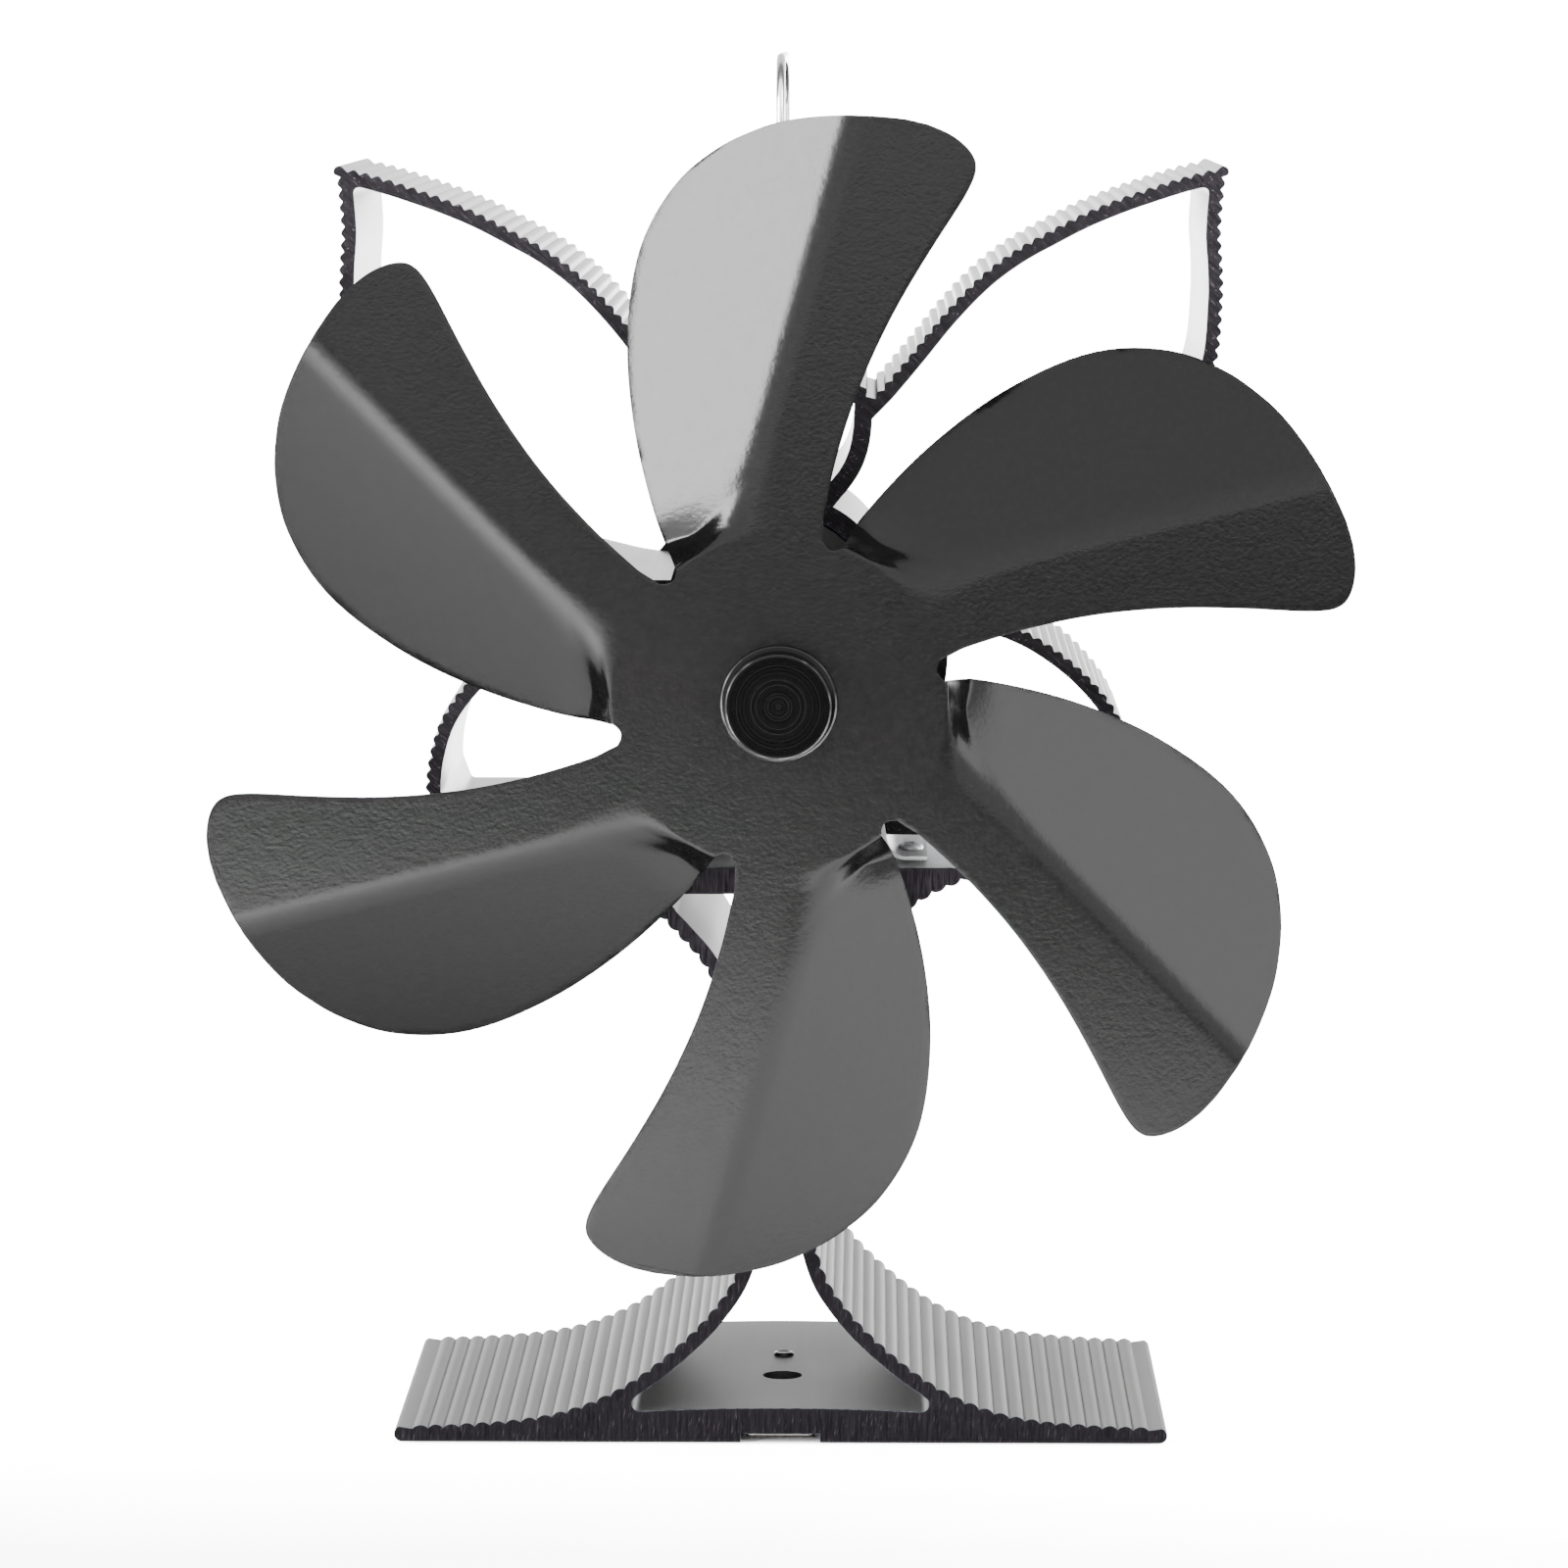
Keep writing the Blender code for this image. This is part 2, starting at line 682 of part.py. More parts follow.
def sink_loops():
    span, height, bottom = SINK_SPAN / 2, SINK_HEIGHT, SINK_BOTTOM
    petal = through(scaled(PETAL_SHARES, span, height, bottom), 6)
    wing_top = through(scaled(WING_TOP_SHARES, span, height, bottom), 6)
    wing_side = through(scaled(WING_SIDE_SHARES, span, height, bottom), 6)
    lower = through(scaled(LOWER_PETAL_SHARES, span, height, bottom), 6)

    nub = TIP_NUB_RADIUS
    tip = arc((span - nub, bottom + height - nub), nub, 125, -35, 6)
    toe_centre = (lower[-1].x - PETAL_BOTTOM_RADIUS, bottom + PETAL_BOTTOM_RADIUS)
    toe = arc(toe_centre, PETAL_BOTTOM_RADIUS, -20, -90, 6)
    boss = arc((0, PIVOT_Z), PIVOT_BOSS_RADIUS, 80, 20, 5)
    rows = [ribbed(line, SINK_RIB_PITCH, SINK_RIB_HEIGHT, 1) for line in (petal[2:], wing_top)]
    rows += [ribbed(line, SINK_RIB_PITCH, SINK_RIB_HEIGHT, 1) for line in (wing_side, lower)]
    half = [*boss, *rows[0], *rows[1], *tip, *rows[2], *rows[3], *toe]
    outer = closed_pair(half)

    cell_half = CELL_WIDTH / 2
    cell = [Vector((cell_half, bottom + FOOT_THICKNESS))]
    cell += arc((0, ARCH_Z), cell_half, 0, 90, 10)[:-1]
    cell = closed_pair(cell)

    side = cell_half + CELL_WALL
    arms = arm_line()
    arm_right = shifted(arms, ARM_WALL / 2)
    arm_left = shifted(arms, -ARM_WALL / 2)
    clear = (arm_right[1] - Vector((0, ARCH_Z))).length

    wing_under = right_of(shifted(wing_side, SINK_WALL), side)
    start_angle = math.degrees(math.asin((wing_under[-1].y - ARCH_Z) / side))
    end_angle = 90 - 1.45 * ARM_START_ANGLE
    shoulder = arc((0, ARCH_Z), max(side, clear * 0.99), start_angle, end_angle, 6)
    roof = shifted(wing_top, SINK_WALL)
    wing = [*shoulder, *arm_right[2:-1], *roof[4:-3], *wing_under[3:]]

    apex = [p for p in shifted(petal, SINK_WALL) if p.x > GAP]
    arch_top = arc((0, ARCH_Z), side, 90, 90 - 0.6 * ARM_START_ANGLE, 3)
    petal_cavity = closed_pair([*arch_top[1:], *arm_left[2:], *apex[-6::-1]])

    under = shifted(lower, SINK_WALL)
    floor = bottom + SINK_WALL
    inner_toe = PETAL_BOTTOM_RADIUS - SINK_WALL
    toe = arc(toe_centre, inner_toe, -20, -90, 3)
    lower_cavity = [Vector((side, floor)), Vector((side, under[1].y)), *under[1:-1], *toe]

    pivot = arc((0, PIVOT_Z), HANDLE_WIRE_RADIUS + GAP, 0, 360 - 360 / SMALL_STEPS, SMALL_STEPS - 1)
    return [outer, cell, wing, mirrored(wing), petal_cavity, lower_cavity, mirrored(lower_cavity), pivot]


def make_sink():
    black = painted("black_anodised_sink", (0.03, 0.03, 0.035), 0.45, 0.9)
    sink = add_mesh("upper_heat_sink", extruded(sink_loops(), SINK_FRONT, SINK_DEPTH), black)
    for end, y in clamp_screw_places():
        hole = CLAMP_SCREW_RADIUS + GAP
        place = (0, y, SINK_BOTTOM)
        drill(sink, f"foot_hole_{end}", hole, place, (0, 0, 1), FOOT_THICKNESS + OVERRUN)


def make_brackets():
    pale = painted("bracket_sheet", (0.66, 0.66, 0.65), 0.3, 1.0)
    thick = BRACKET_THICKNESS
    bottom = BASE_HEIGHT + GAP
    leg_top = SINK_BOTTOM - GAP
    foot_x = MODULE_SIZE / 2 + BRACKET_LEG_LEAN + 2 * GAP
    front = BASE_FRONT + BRACKET_FRONT
    lean = BRACKET_LEG_LEAN / (leg_top - bottom)
    tab_top = bottom + BRACKET_TAB_HEIGHT
    for hand, side in SIDES:
        name = f"clamp_bracket_{hand}"
        leg = bracket_loop(side, bottom, leg_top, foot_x, lean)
        bracket = add_mesh(name, extruded([leg], front, SINK_BACK - front), pale)
        tab = bracket_loop(side, bottom + GAP, tab_top, foot_x, lean)
        tab = extruded([tab], front, SINK_FRONT - GAP - front)
        cut(bracket, add_mesh(f"{name}_tab", tab), "UNION")
        for where, x, y in bracket_screw_places():
            if x * side > 0:
                hole = BRACKET_SCREW_RADIUS + GAP
                top = (x, y, bottom + thick)
                drill(bracket, f"sheet_hole_{where}", hole, top, (0, 0, -1), thick + OVERRUN)

    steel = painted("bracket_screw_steel", (0.55, 0.55, 0.56), 0.3, 1.0)
    length = BRACKET_SCREW_LENGTH + thick
    profile = screw_profile(
        BRACKET_HEAD_RADIUS, BRACKET_HEAD_HEIGHT, BRACKET_SCREW_RADIUS, length
    )
    for where, x, y in bracket_screw_places():
        seat = (x, y, bottom + thick + GAP)
        screw = turned(profile, seat, (0, 0, -1), SMALL_STEPS)
        add_mesh(f"bracket_screw_{where}", screw, steel)


def bracket_loop(side, bottom, top, foot_x, lean):
    """Section of a bracket: a flat flange outside, and a leg that leans in over the module."""
    thick = BRACKET_THICKNESS
    rise = top - bottom
    points = [
        (BRACKET_REACH, bottom),
        (foot_x, bottom),
        (foot_x - lean * rise, top),
        (foot_x - lean * rise + thick, top),
        (foot_x - lean * 2 * thick + thick, bottom + 2 * thick),
        (foot_x + 2 * thick, bottom + thick),
        (BRACKET_REACH, bottom + thick),
    ]
    return [Vector((side * x, z)) for x, z in points]


def make_clamp_screws():
    steel = painted("clamp_screw_steel", (0.50, 0.50, 0.51), 0.32, 1.0)
    spring = painted("spring_steel", (0.42, 0.42, 0.43), 0.35, 1.0)
    glass = painted("glass_laminate", (0.75, 0.70, 0.55), 0.7, 0.0)
    top = BASE_HEIGHT - TOP_PLATE_THICKNESS - GAP
    insulator = top - INSULATOR_THICKNESS
    washer = insulator - GAP - SPRING_WASHER_THICKNESS
    head = washer - GAP
    length = SINK_BOTTOM + CLAMP_GRIP - head
    profile = screw_profile(CLAMP_HEAD_RADIUS, CLAMP_HEAD_HEIGHT, CLAMP_SCREW_RADIUS, length)
    hole = CLAMP_SCREW_RADIUS + GAP
    rings = (
        ("spring_washer", washer, SPRING_WASHER_THICKNESS, spring),
        ("insulating_washer", insulator, INSULATOR_THICKNESS, glass),
    )
    up = (0, 0, 1)
    for end, y in clamp_screw_places():
        screw = turned(profile, (0, y, head), up, SMALL_STEPS)
        add_mesh(f"clamp_screw_{end}", screw, steel)
        for name, level, thickness, material in rings:
            ring = ring_piece(hole, WASHER_RADIUS, thickness, (0, y, level), up, SMALL_STEPS)
            add_mesh(f"{name}_{end}", ring, material)


def cover_screw_places():
    return (("lower", AXIS_Z - COVER_SCREW_OFFSET), ("upper", AXIS_Z + COVER_SCREW_OFFSET))


def make_holder():
    plastic = painted("holder_plastic", (0.02, 0.02, 0.02), 0.45, 0.0)
    half = HOLDER_HALF
    outline = [Vector((half, SINK_BOTTOM + FOOT_THICKNESS + GAP))]
    outline += arc((0, ARCH_Z), half, 0, 90, 10)[:-1]
    front = SINK_FRONT + HOLDER_SETBACK
    depth = SINK_DEPTH - HOLDER_SETBACK - GAP
    holder = add_mesh("motor_holder", extruded([closed_pair(outline)], front, depth), plastic)
    bore = MOTOR_BACK + GAP - front
    profile = [
        (0, -OVERRUN),
        (HOLDER_BORE, -OVERRUN),
        (HOLDER_BORE, bore),
        (WIRE_WELL_RADIUS, bore),
        (WIRE_WELL_RADIUS, depth + OVERRUN),
        (0, depth + OVERRUN),
    ]
    cut(holder, add_mesh("holder_bore", turned(profile, (0, front, AXIS_Z))))
    back = SINK_BACK - GAP
    for level, z in cover_screw_places():
        hole = COVER_SCREW_RADIUS + GAP
        place = (0, back, z)
        drill(holder, f"holder_hole_{level}", hole, place, (0, -1, 0), COVER_SCREW_DEPTH)


def make_rear_cover():
    plastic = painted("cover_plastic", (0.015, 0.015, 0.018), 0.25, 0.0)
    front = SINK_BACK + GAP
    inner = COVER_RADIUS - COVER_RIM
    hollow = COVER_THICKNESS - COVER_FLOOR
    edge = arc((COVER_RADIUS - COVER_ROUND, COVER_THICKNESS - COVER_ROUND), COVER_ROUND, 0, 90, 4)
    profile = [(0, hollow), (inner, hollow), (inner, 0), (COVER_RADIUS, 0)]
    profile += [(p.x, p.y) for p in edge] + [(0, COVER_THICKNESS)]
    cover = add_mesh("rear_cover", turned(profile, (0, front, AXIS_Z), steps=40), plastic)
    half = COVER_NOTCH_WIDTH / 2
    low = (-half, front - OVERRUN, AXIS_Z - COVER_RADIUS - OVERRUN)
    high = (half, front + hollow, AXIS_Z - inner + OVERRUN)
    cut(cover, add_mesh("cover_notch", block(low, high)))

    steel = painted("cover_screw_steel", (0.45, 0.45, 0.46), 0.3, 1.0)
    seat = front + COVER_THICKNESS + GAP
    length = seat - SINK_BACK + COVER_SCREW_DEPTH - 3 * GAP
    profile = screw_profile(COVER_HEAD_RADIUS, COVER_HEAD_HEIGHT, COVER_SCREW_RADIUS, length)
    for level, z in cover_screw_places():
        screw = turned(profile, (0, seat, z), (0, -1, 0), SMALL_STEPS)
        add_mesh(f"cover_screw_{level}", screw, steel)
        hole = COVER_SCREW_RADIUS + GAP
        place = (0, front + COVER_THICKNESS, z)
        drill(cover, f"cover_hole_{level}", hole, place, (0, -1, 0), COVER_THICKNESS)


def make_motor_case():
    steel = painted("motor_steel", (0.60, 0.60, 0.60), 0.3, 1.0)
    inner = MOTOR_RADIUS - MOTOR_WALL
    hole = BEARING_RADIUS + GAP
    profile = [
        (hole, 0),
        (MOTOR_RADIUS - MOTOR_WALL / 2, 0),
        (MOTOR_RADIUS, MOTOR_WALL / 2),
        (MOTOR_RADIUS, MOTOR_LENGTH),
        (inner, MOTOR_LENGTH),
        (inner, MOTOR_WALL),
        (hole, MOTOR_WALL),
    ]
    place = (0, MOTOR_FRONT, AXIS_Z)
    add_mesh("motor_can", turned(profile, place), steel)

    bronze = painted("bearing_bronze", (0.55, 0.36, 0.16), 0.35, 1.0)
    bore = SHAFT_RADIUS + GAP
    front = (0, MOTOR_FRONT - BEARING_REACH, AXIS_Z)
    bush = ring_piece(bore, BEARING_RADIUS, BEARING_LENGTH, front, steps=SMALL_STEPS)
    add_mesh("front_bearing", bush, bronze)
    cap_front = MOTOR_BACK - END_CAP_THICKNESS
    back = (0, cap_front, AXIS_Z)
    bush = ring_piece(bore, BEARING_RADIUS, END_CAP_THICKNESS, back, steps=SMALL_STEPS)
    add_mesh("rear_bearing", bush, bronze)

    plastic = painted("end_cap_plastic", (0.75, 0.74, 0.70), 0.5, 0.0)
    cap = ring_piece(hole, inner - GAP, END_CAP_THICKNESS, back)
    cap = add_mesh("motor_end_cap", cap, plastic)
    for hand, side in SIDES:
        slot = terminal_block(side, cap_front - OVERRUN, MOTOR_BACK + OVERRUN, GAP)
        cut(cap, add_mesh(f"terminal_slot_{hand}", slot))

    ferrite = painted("ferrite_magnet", (0.12, 0.12, 0.13), 0.55, 0.3)
    outer = inner - GAP
    start = MOTOR_FRONT + MOTOR_WALL + (core_front() - MOTOR_FRONT - MOTOR_WALL) / 2
    half = MAGNET_SPAN_ANGLE / 2
    for hand, side in SIDES:
        middle = 90 - 90 * side
        loop = arc((0, AXIS_Z), outer, middle - half, middle + half, 10)
        loop += arc((0, AXIS_Z), outer - MAGNET_THICKNESS, middle + half, middle - half, 10)
        add_mesh(f"motor_magnet_{hand}", extruded([loop], start, MAGNET_LENGTH), ferrite)


def terminal_block(side, start, end, spare):
    x = side * TERMINAL_OFFSET
    half, thick = TERMINAL_WIDTH / 2 + spare, TERMINAL_THICKNESS / 2 + spare
    return block((x - half, start, AXIS_Z - thick), (x + half, end, AXIS_Z + thick))


def core_front():
    return MOTOR_FRONT + (MOTOR_LENGTH - CORE_LENGTH) / 2 - BEARING_REACH


def commutator_front():
    return core_front() + CORE_LENGTH + COIL_THICKNESS + 2 * GAP


def make_contacts():
    brass = painted("terminal_brass", (0.70, 0.52, 0.25), 0.35, 1.0)
    bronze = painted("brush_bronze", (0.60, 0.42, 0.20), 0.4, 1.0)
    start = MOTOR_BACK - END_CAP_THICKNESS
    front = commutator_front() + GAP
    half = BRUSH_WIDTH / 2
    for hand, side in SIDES:
        terminal = terminal_block(side, start, start + TERMINAL_LENGTH, 0)
        add_mesh(f"motor_terminal_{hand}", terminal, brass)
        near = side * (COMMUTATOR_RADIUS + GAP)
        far = near + side * BRUSH_LENGTH
        low = (min(near, far), front, AXIS_Z - half)
        brush = block(low, (max(near, far), start - GAP, AXIS_Z + half))
        add_mesh(f"motor_brush_{hand}", brush, bronze)


def make_leads():
    """Two leads from the module, back under the foot, up in the cover and on to the motor."""
    colours = (("lead_wire_red", (0.55, 0.02, 0.02), 1), ("lead_wire_black", (0.02, 0.02, 0.02), -1))
    level = BASE_HEIGHT + STACK_HEIGHT / 2
    start = MODULE_MIDDLE + MODULE_SIZE / 2 + GAP
    rise = SINK_BACK + GAP + (COVER_THICKNESS - COVER_FLOOR) / 2 + GAP / 2
    entry = AXIS_Z - WIRE_WELL_RADIUS / 2
    end = MOTOR_BACK - END_CAP_THICKNESS + TERMINAL_LENGTH + GAP
    for name, colour, side in colours:
        bend = LEAD_BEND
        route = [(start, level)]
        route += [(p.x, p.y) for p in arc((rise - bend, level + bend), bend, -90, 0, 4)]
        turn = bend / 2
        route += [(p.x, p.y) for p in arc((rise - turn, entry - turn), turn, 0, 90, 4)]
        route += [(end + LEAD_BEND, entry), (end, AXIS_Z)]
        points = [(side * LEAD_SPACING, y, z) for y, z in route]
        wire_object(name, points, LEAD_RADIUS, painted(name, colour, 0.5, 0.0), 2)


def wire_object(name, points, radius, material, resolution):
    """A round wire through the points, with its ends closed."""
    data = bpy.data.curves.new(name, "CURVE")
    data.dimensions = "3D"
    data.bevel_depth = radius
    data.bevel_resolution = resolution
    data.use_fill_caps = True
    spline = data.splines.new("POLY")
    spline.points.add(len(points) - 1)
    for point, place in zip(spline.points, points):
        point.co = (*place, 1)
    spline.use_smooth = True
    data.materials.append(material)
    made = bpy.data.objects.new(name, data)
    bpy.context.scene.collection.objects.link(made)
    return made


def make_armature(axis):
    steel = painted("shaft_steel", (0.62, 0.62, 0.62), 0.2, 1.0)
    centre = (0, shaft_front(), AXIS_Z)
    length = MOTOR_BACK - shaft_front()
    shaft = ring_piece(0, SHAFT_RADIUS, length, centre, steps=SMALL_STEPS)
    add_mesh("motor_shaft", shaft, steel, axis)

    laminated = painted("laminated_core", (0.32, 0.33, 0.35), 0.4, 0.9)
    bore = arc((0, AXIS_Z), SHAFT_RADIUS + GAP, 0, 360 - 360 / SMALL_STEPS, SMALL_STEPS - 1)
    core = extruded([core_outline(), bore], core_front(), CORE_LENGTH)
    add_mesh("armature_core", core, laminated, axis)

    enamel = painted("enamelled_copper", (0.55, 0.24, 0.10), 0.35, 0.9)
    inner = CORE_HUB_RADIUS + GAP
    start = core_front() + CORE_LENGTH + GAP
    ring = ring_piece(inner, inner + COIL_THICKNESS, COIL_THICKNESS, (0, start, AXIS_Z))
    windings = add_mesh("armature_windings", ring, enamel, axis)
    for middle in POLE_ANGLES:
        cut(windings, add_mesh(f"pole_coil_{middle}", coil(middle), None, axis), "UNION")

    copper = painted("commutator_copper", (0.72, 0.42, 0.25), 0.3, 1.0)
    loop = []
    half = COMMUTATOR_SPAN_ANGLE / 2
    for pole in POLE_ANGLES:
        middle = pole + 60
        loop += arc((0, AXIS_Z), COMMUTATOR_RADIUS, middle - half, middle + half, 5)
        after = middle + half
        root = COMMUTATOR_RADIUS - COMMUTATOR_SLOT_DEPTH
        loop += arc((0, AXIS_Z), root, after, after + 120 - 2 * half, 1)
    bore = arc((0, AXIS_Z), SHAFT_RADIUS + GAP, 0, 360 - 360 / SMALL_STEPS, SMALL_STEPS - 1)
    commutator = extruded([loop, bore], commutator_front(), COMMUTATOR_LENGTH)
    add_mesh("commutator", commutator, copper, axis)


def shaft_front():
    return SHEET_FRONT - SPIGOT_REACH + GAP


def core_outline():
    """Outline of three T-shaped poles on a round hub."""
    found = []
    neck = CORE_NECK_WIDTH / 2
    shoe = CORE_SHOE_ANGLE / 2
    for middle in POLE_ANGLES:
        turn = Matrix.Rotation(math.radians(middle), 2)
        inner = CORE_RADIUS - CORE_SHOE_THICKNESS
        foot = [Vector((CORE_HUB_RADIUS, -neck)), Vector((inner, -neck))]
        rim = arc((0, 0), CORE_RADIUS, -shoe, shoe, 6)
        low = Vector((inner * math.cos(math.radians(shoe)), -inner * math.sin(math.radians(shoe))))
        high = Vector((low.x, -low.y))
        back = [Vector((inner, neck)), Vector((CORE_HUB_RADIUS, neck))]
        found += [turn @ p + Vector((0, AXIS_Z)) for p in [*foot, low, *rim, high, *back]]
    return found


def coil(middle):
    """A plain wound ring round the neck of the pole at this angle."""
    mesh = bmesh.new()
    inner = CORE_NECK_WIDTH / 2 + GAP
    half_length = CORE_LENGTH / 2 + GAP
    start = CORE_HUB_RADIUS + GAP
    turn = Matrix.Rotation(math.radians(90 - middle), 4, "Y")
    place = Matrix.Translation((0, core_front() + CORE_LENGTH / 2, AXIS_Z)) @ turn
    rings = []
    for spare, reach in ((0, 0), (1, 0), (1, 1), (0, 1)):
        x = inner + spare * COIL_THICKNESS
        y = half_length + spare * COIL_THICKNESS
        z = start + reach * COIL_HEIGHT
        corners = ((-x, -y, z), (x, -y, z), (x, y, z), (-x, y, z))
        rings.append([mesh.verts.new(place @ Vector(c)) for c in corners])
    for one, two in zip(rings, rings[1:] + rings[:1]):
        for n in range(len(one)):
            after = (n + 1) % len(one)
            mesh.faces.new((one[n], one[after], two[after], two[n]))
    return mesh


def fold_depth(distance):
    """How far back the sheet lies at this distance beyond the fold line."""
    soft = FOLD_SOFTNESS
    if distance < -soft:
        return 0
    if distance < soft:
        distance = (distance + soft) ** 2 / (4 * soft)
    return distance * math.tan(math.radians(FOLD_ANGLE))


def blade_depth(radius, angle):
    """How far back the sheet lies there, with the angle in degrees from the blade's own zero."""
    turn = math.radians(angle - FOLD_DIRECTION_ANGLE)
    root = BLADE_EDGE_SHARES[0][0] * FAN_RADIUS
    rise = min(1, max(0, (radius - root) / ROOT_STEP))
    rise = rise * rise * (3 - 2 * rise)
    return fold_depth(radius * math.sin(turn) - FOLD_OFFSET) * rise


def fold_angle(radius, offset):
    return FOLD_DIRECTION_ANGLE + math.degrees(math.asin(min(1, offset / radius)))


def blade_angles(radius, leading, folded):
    """Angles of the columns across a blade, closer together at the fold."""
    before = fold_angle(radius, FOLD_OFFSET - FOLD_SOFTNESS)
    after = fold_angle(radius, FOLD_OFFSET + FOLD_SOFTNESS)
    before = max(before, leading + (folded - leading) / 6)
    after = min(after, folded - (folded - leading) / 6)
    if before > after:
        before = leading + (folded - leading) / 3
        after = folded - (folded - leading) / 3
    stops = [leading, (leading + before) / 2]
    stops += [before + (after - before) * n / 4 for n in range(5)]
    return stops + [after + (folded - after) * n / 3 for n in (1, 2, 3)]


def fan_point(mesh, radius, angle, back, depth):
    turn = math.radians(angle)
    y = depth + (SHEET_BACK if back else SHEET_FRONT)
    return mesh.verts.new((radius * math.cos(turn), y, AXIS_Z + radius * math.sin(turn)))


def fan_side(mesh, back):
    """One face of the sheet: hub rings inside, then the rows of each blade."""
    step = 360 / BLADE_COUNT
    edges = through(BLADE_EDGE_SHARES, 2)
    root_share, leading, folded = edges[0]
    root = root_share * FAN_RADIUS
    blades = []
    rim = []
    for number in range(BLADE_COUNT):
        rows = []
        for share, first, last in edges:
            radius = share * FAN_RADIUS
            angles = blade_angles(radius, first, last)
            row = [
                fan_point(mesh, radius, number * step + a, back, blade_depth(radius, a))
                for a in angles
            ]
            rows.append(row)
        blades.append(rows)
        start = number * step
        angles = blade_angles(root, leading, folded)
        rim += [(v, start + a) for v, a in zip(rows[0], angles)]
        notch = start + (folded + leading + step) / 2
        rim.append((fan_point(mesh, root - NOTCH_DEPTH, notch, back, 0), notch))
    hole = SPIGOT_RADIUS + GAP
    radii = [hole] + [share * root for share in HUB_RING_SHARES]
    rings = [[fan_point(mesh, r, a, back, 0) for v, a in rim] for r in radii]
    rings.append([v for v, a in rim])
    for one, two in zip(rings, rings[1:]):
        for n in range(len(one)):
            m = (n + 1) % len(one)
            mesh.faces.new((one[n], one[m], two[m], two[n]))
    for rows in blades:
        for one, two in zip(rows, rows[1:]):
            for n in range(len(one) - 1):
                mesh.faces.new((one[n], one[n + 1], two[n + 1], two[n]))
    return rings, blades


def blade_border(rows, notch):
    """The blade's edge from its leading root, round the tip, to its folded root and the notch."""
    leading = [row[0] for row in rows]
    folded = [row[-1] for row in reversed(rows)]
    return [*leading, *rows[-1][1:-1], *folded, notch]


def make_fan(axis):
    satin = painted("satin_black_sheet", (0.05, 0.05, 0.05), 0.4, 0.3)
    mesh = bmesh.new()
    borders = []
    for back in (False, True):
        rings, blades = fan_side(mesh, back)
        per_blade = len(rings[-1]) // BLADE_COUNT
        edge = []
        for number, rows in enumerate(blades):
            edge += blade_border(rows, rings[-1][(number + 1) * per_blade - 1])
        borders.append((rings[0], edge))
    for front, behind in zip(*borders):
        for n in range(len(front)):
            m = (n + 1) % len(front)
            mesh.faces.new((front[n], front[m], behind[m], behind[n]))
    add_mesh("fan_blades", mesh, satin, axis)


def make_boss(axis):
    alloy = painted("boss_alloy", (0.60, 0.60, 0.60), 0.35, 1.0)
    bore = SHAFT_RADIUS + GAP
    flange = SHEET_THICKNESS + GAP
    profile = [
        (bore, -SPIGOT_REACH),
        (SPIGOT_RADIUS, -SPIGOT_REACH),
        (SPIGOT_RADIUS, flange),
        (BOSS_FLANGE_RADIUS, flange),
        (BOSS_FLANGE_RADIUS, flange + BOSS_FLANGE_THICKNESS),
        (BOSS_RADIUS, flange + BOSS_FLANGE_THICKNESS),
        (BOSS_RADIUS, flange + BOSS_LENGTH),
        (bore, flange + BOSS_LENGTH),
    ]
    boss = add_mesh("fan_boss", turned(profile, FAN_AXIS), alloy, axis)
    screw_y = SHEET_FRONT + flange + (BOSS_FLANGE_THICKNESS + BOSS_LENGTH) / 2
    place = (0, screw_y, AXIS_Z + SHAFT_RADIUS)
    length = BOSS_RADIUS - SHAFT_RADIUS
    hole = tube_profile(0, SET_SCREW_RADIUS + GAP, 0, length + OVERRUN)
    hole = turned(hole, place, (0, 0, 1), SMALL_STEPS)
    cut(boss, add_mesh("set_screw_hole", hole, None, axis))

    steel = painted("set_screw_steel", (0.20, 0.20, 0.21), 0.4, 1.0)
    place = (0, screw_y, AXIS_Z + SHAFT_RADIUS + GAP)
    screw = ring_piece(0, SET_SCREW_RADIUS, length - GAP, place, (0, 0, 1), SMALL_STEPS)
    add_mesh("boss_set_screw", screw, steel, axis)


def make_cap(axis):
    gloss = painted("cap_black", (0.03, 0.03, 0.03), 0.3, 0.4)
    start = -GAP
    front = start - CAP_LENGTH
    depth = CAP_GROOVE_DEPTH
    half = CAP_GROOVE_WIDTH / 2
    profile = [(0, front)]
    for share in CAP_GROOVE_SHARES:
        radius = share * CAP_RIM_RADIUS
        profile += [(radius - half, front), (radius, front + depth), (radius + half, front)]
    round_off = CAP_RIM_STEP / 2
    profile += [
        (CAP_RIM_RADIUS - round_off, front),
        (CAP_RIM_RADIUS, front + round_off),
        (CAP_RIM_RADIUS, start - CAP_RIM_STEP),
        (CAP_RADIUS, start - CAP_RIM_STEP),
        (CAP_RADIUS, start),
        (SPIGOT_RADIUS + GAP, start),
        (SPIGOT_RADIUS + GAP, -SPIGOT_REACH - GAP),
        (0, -SPIGOT_REACH - GAP),
    ]
    add_mesh("hub_cap", turned(profile, FAN_AXIS, steps=36), gloss, axis)


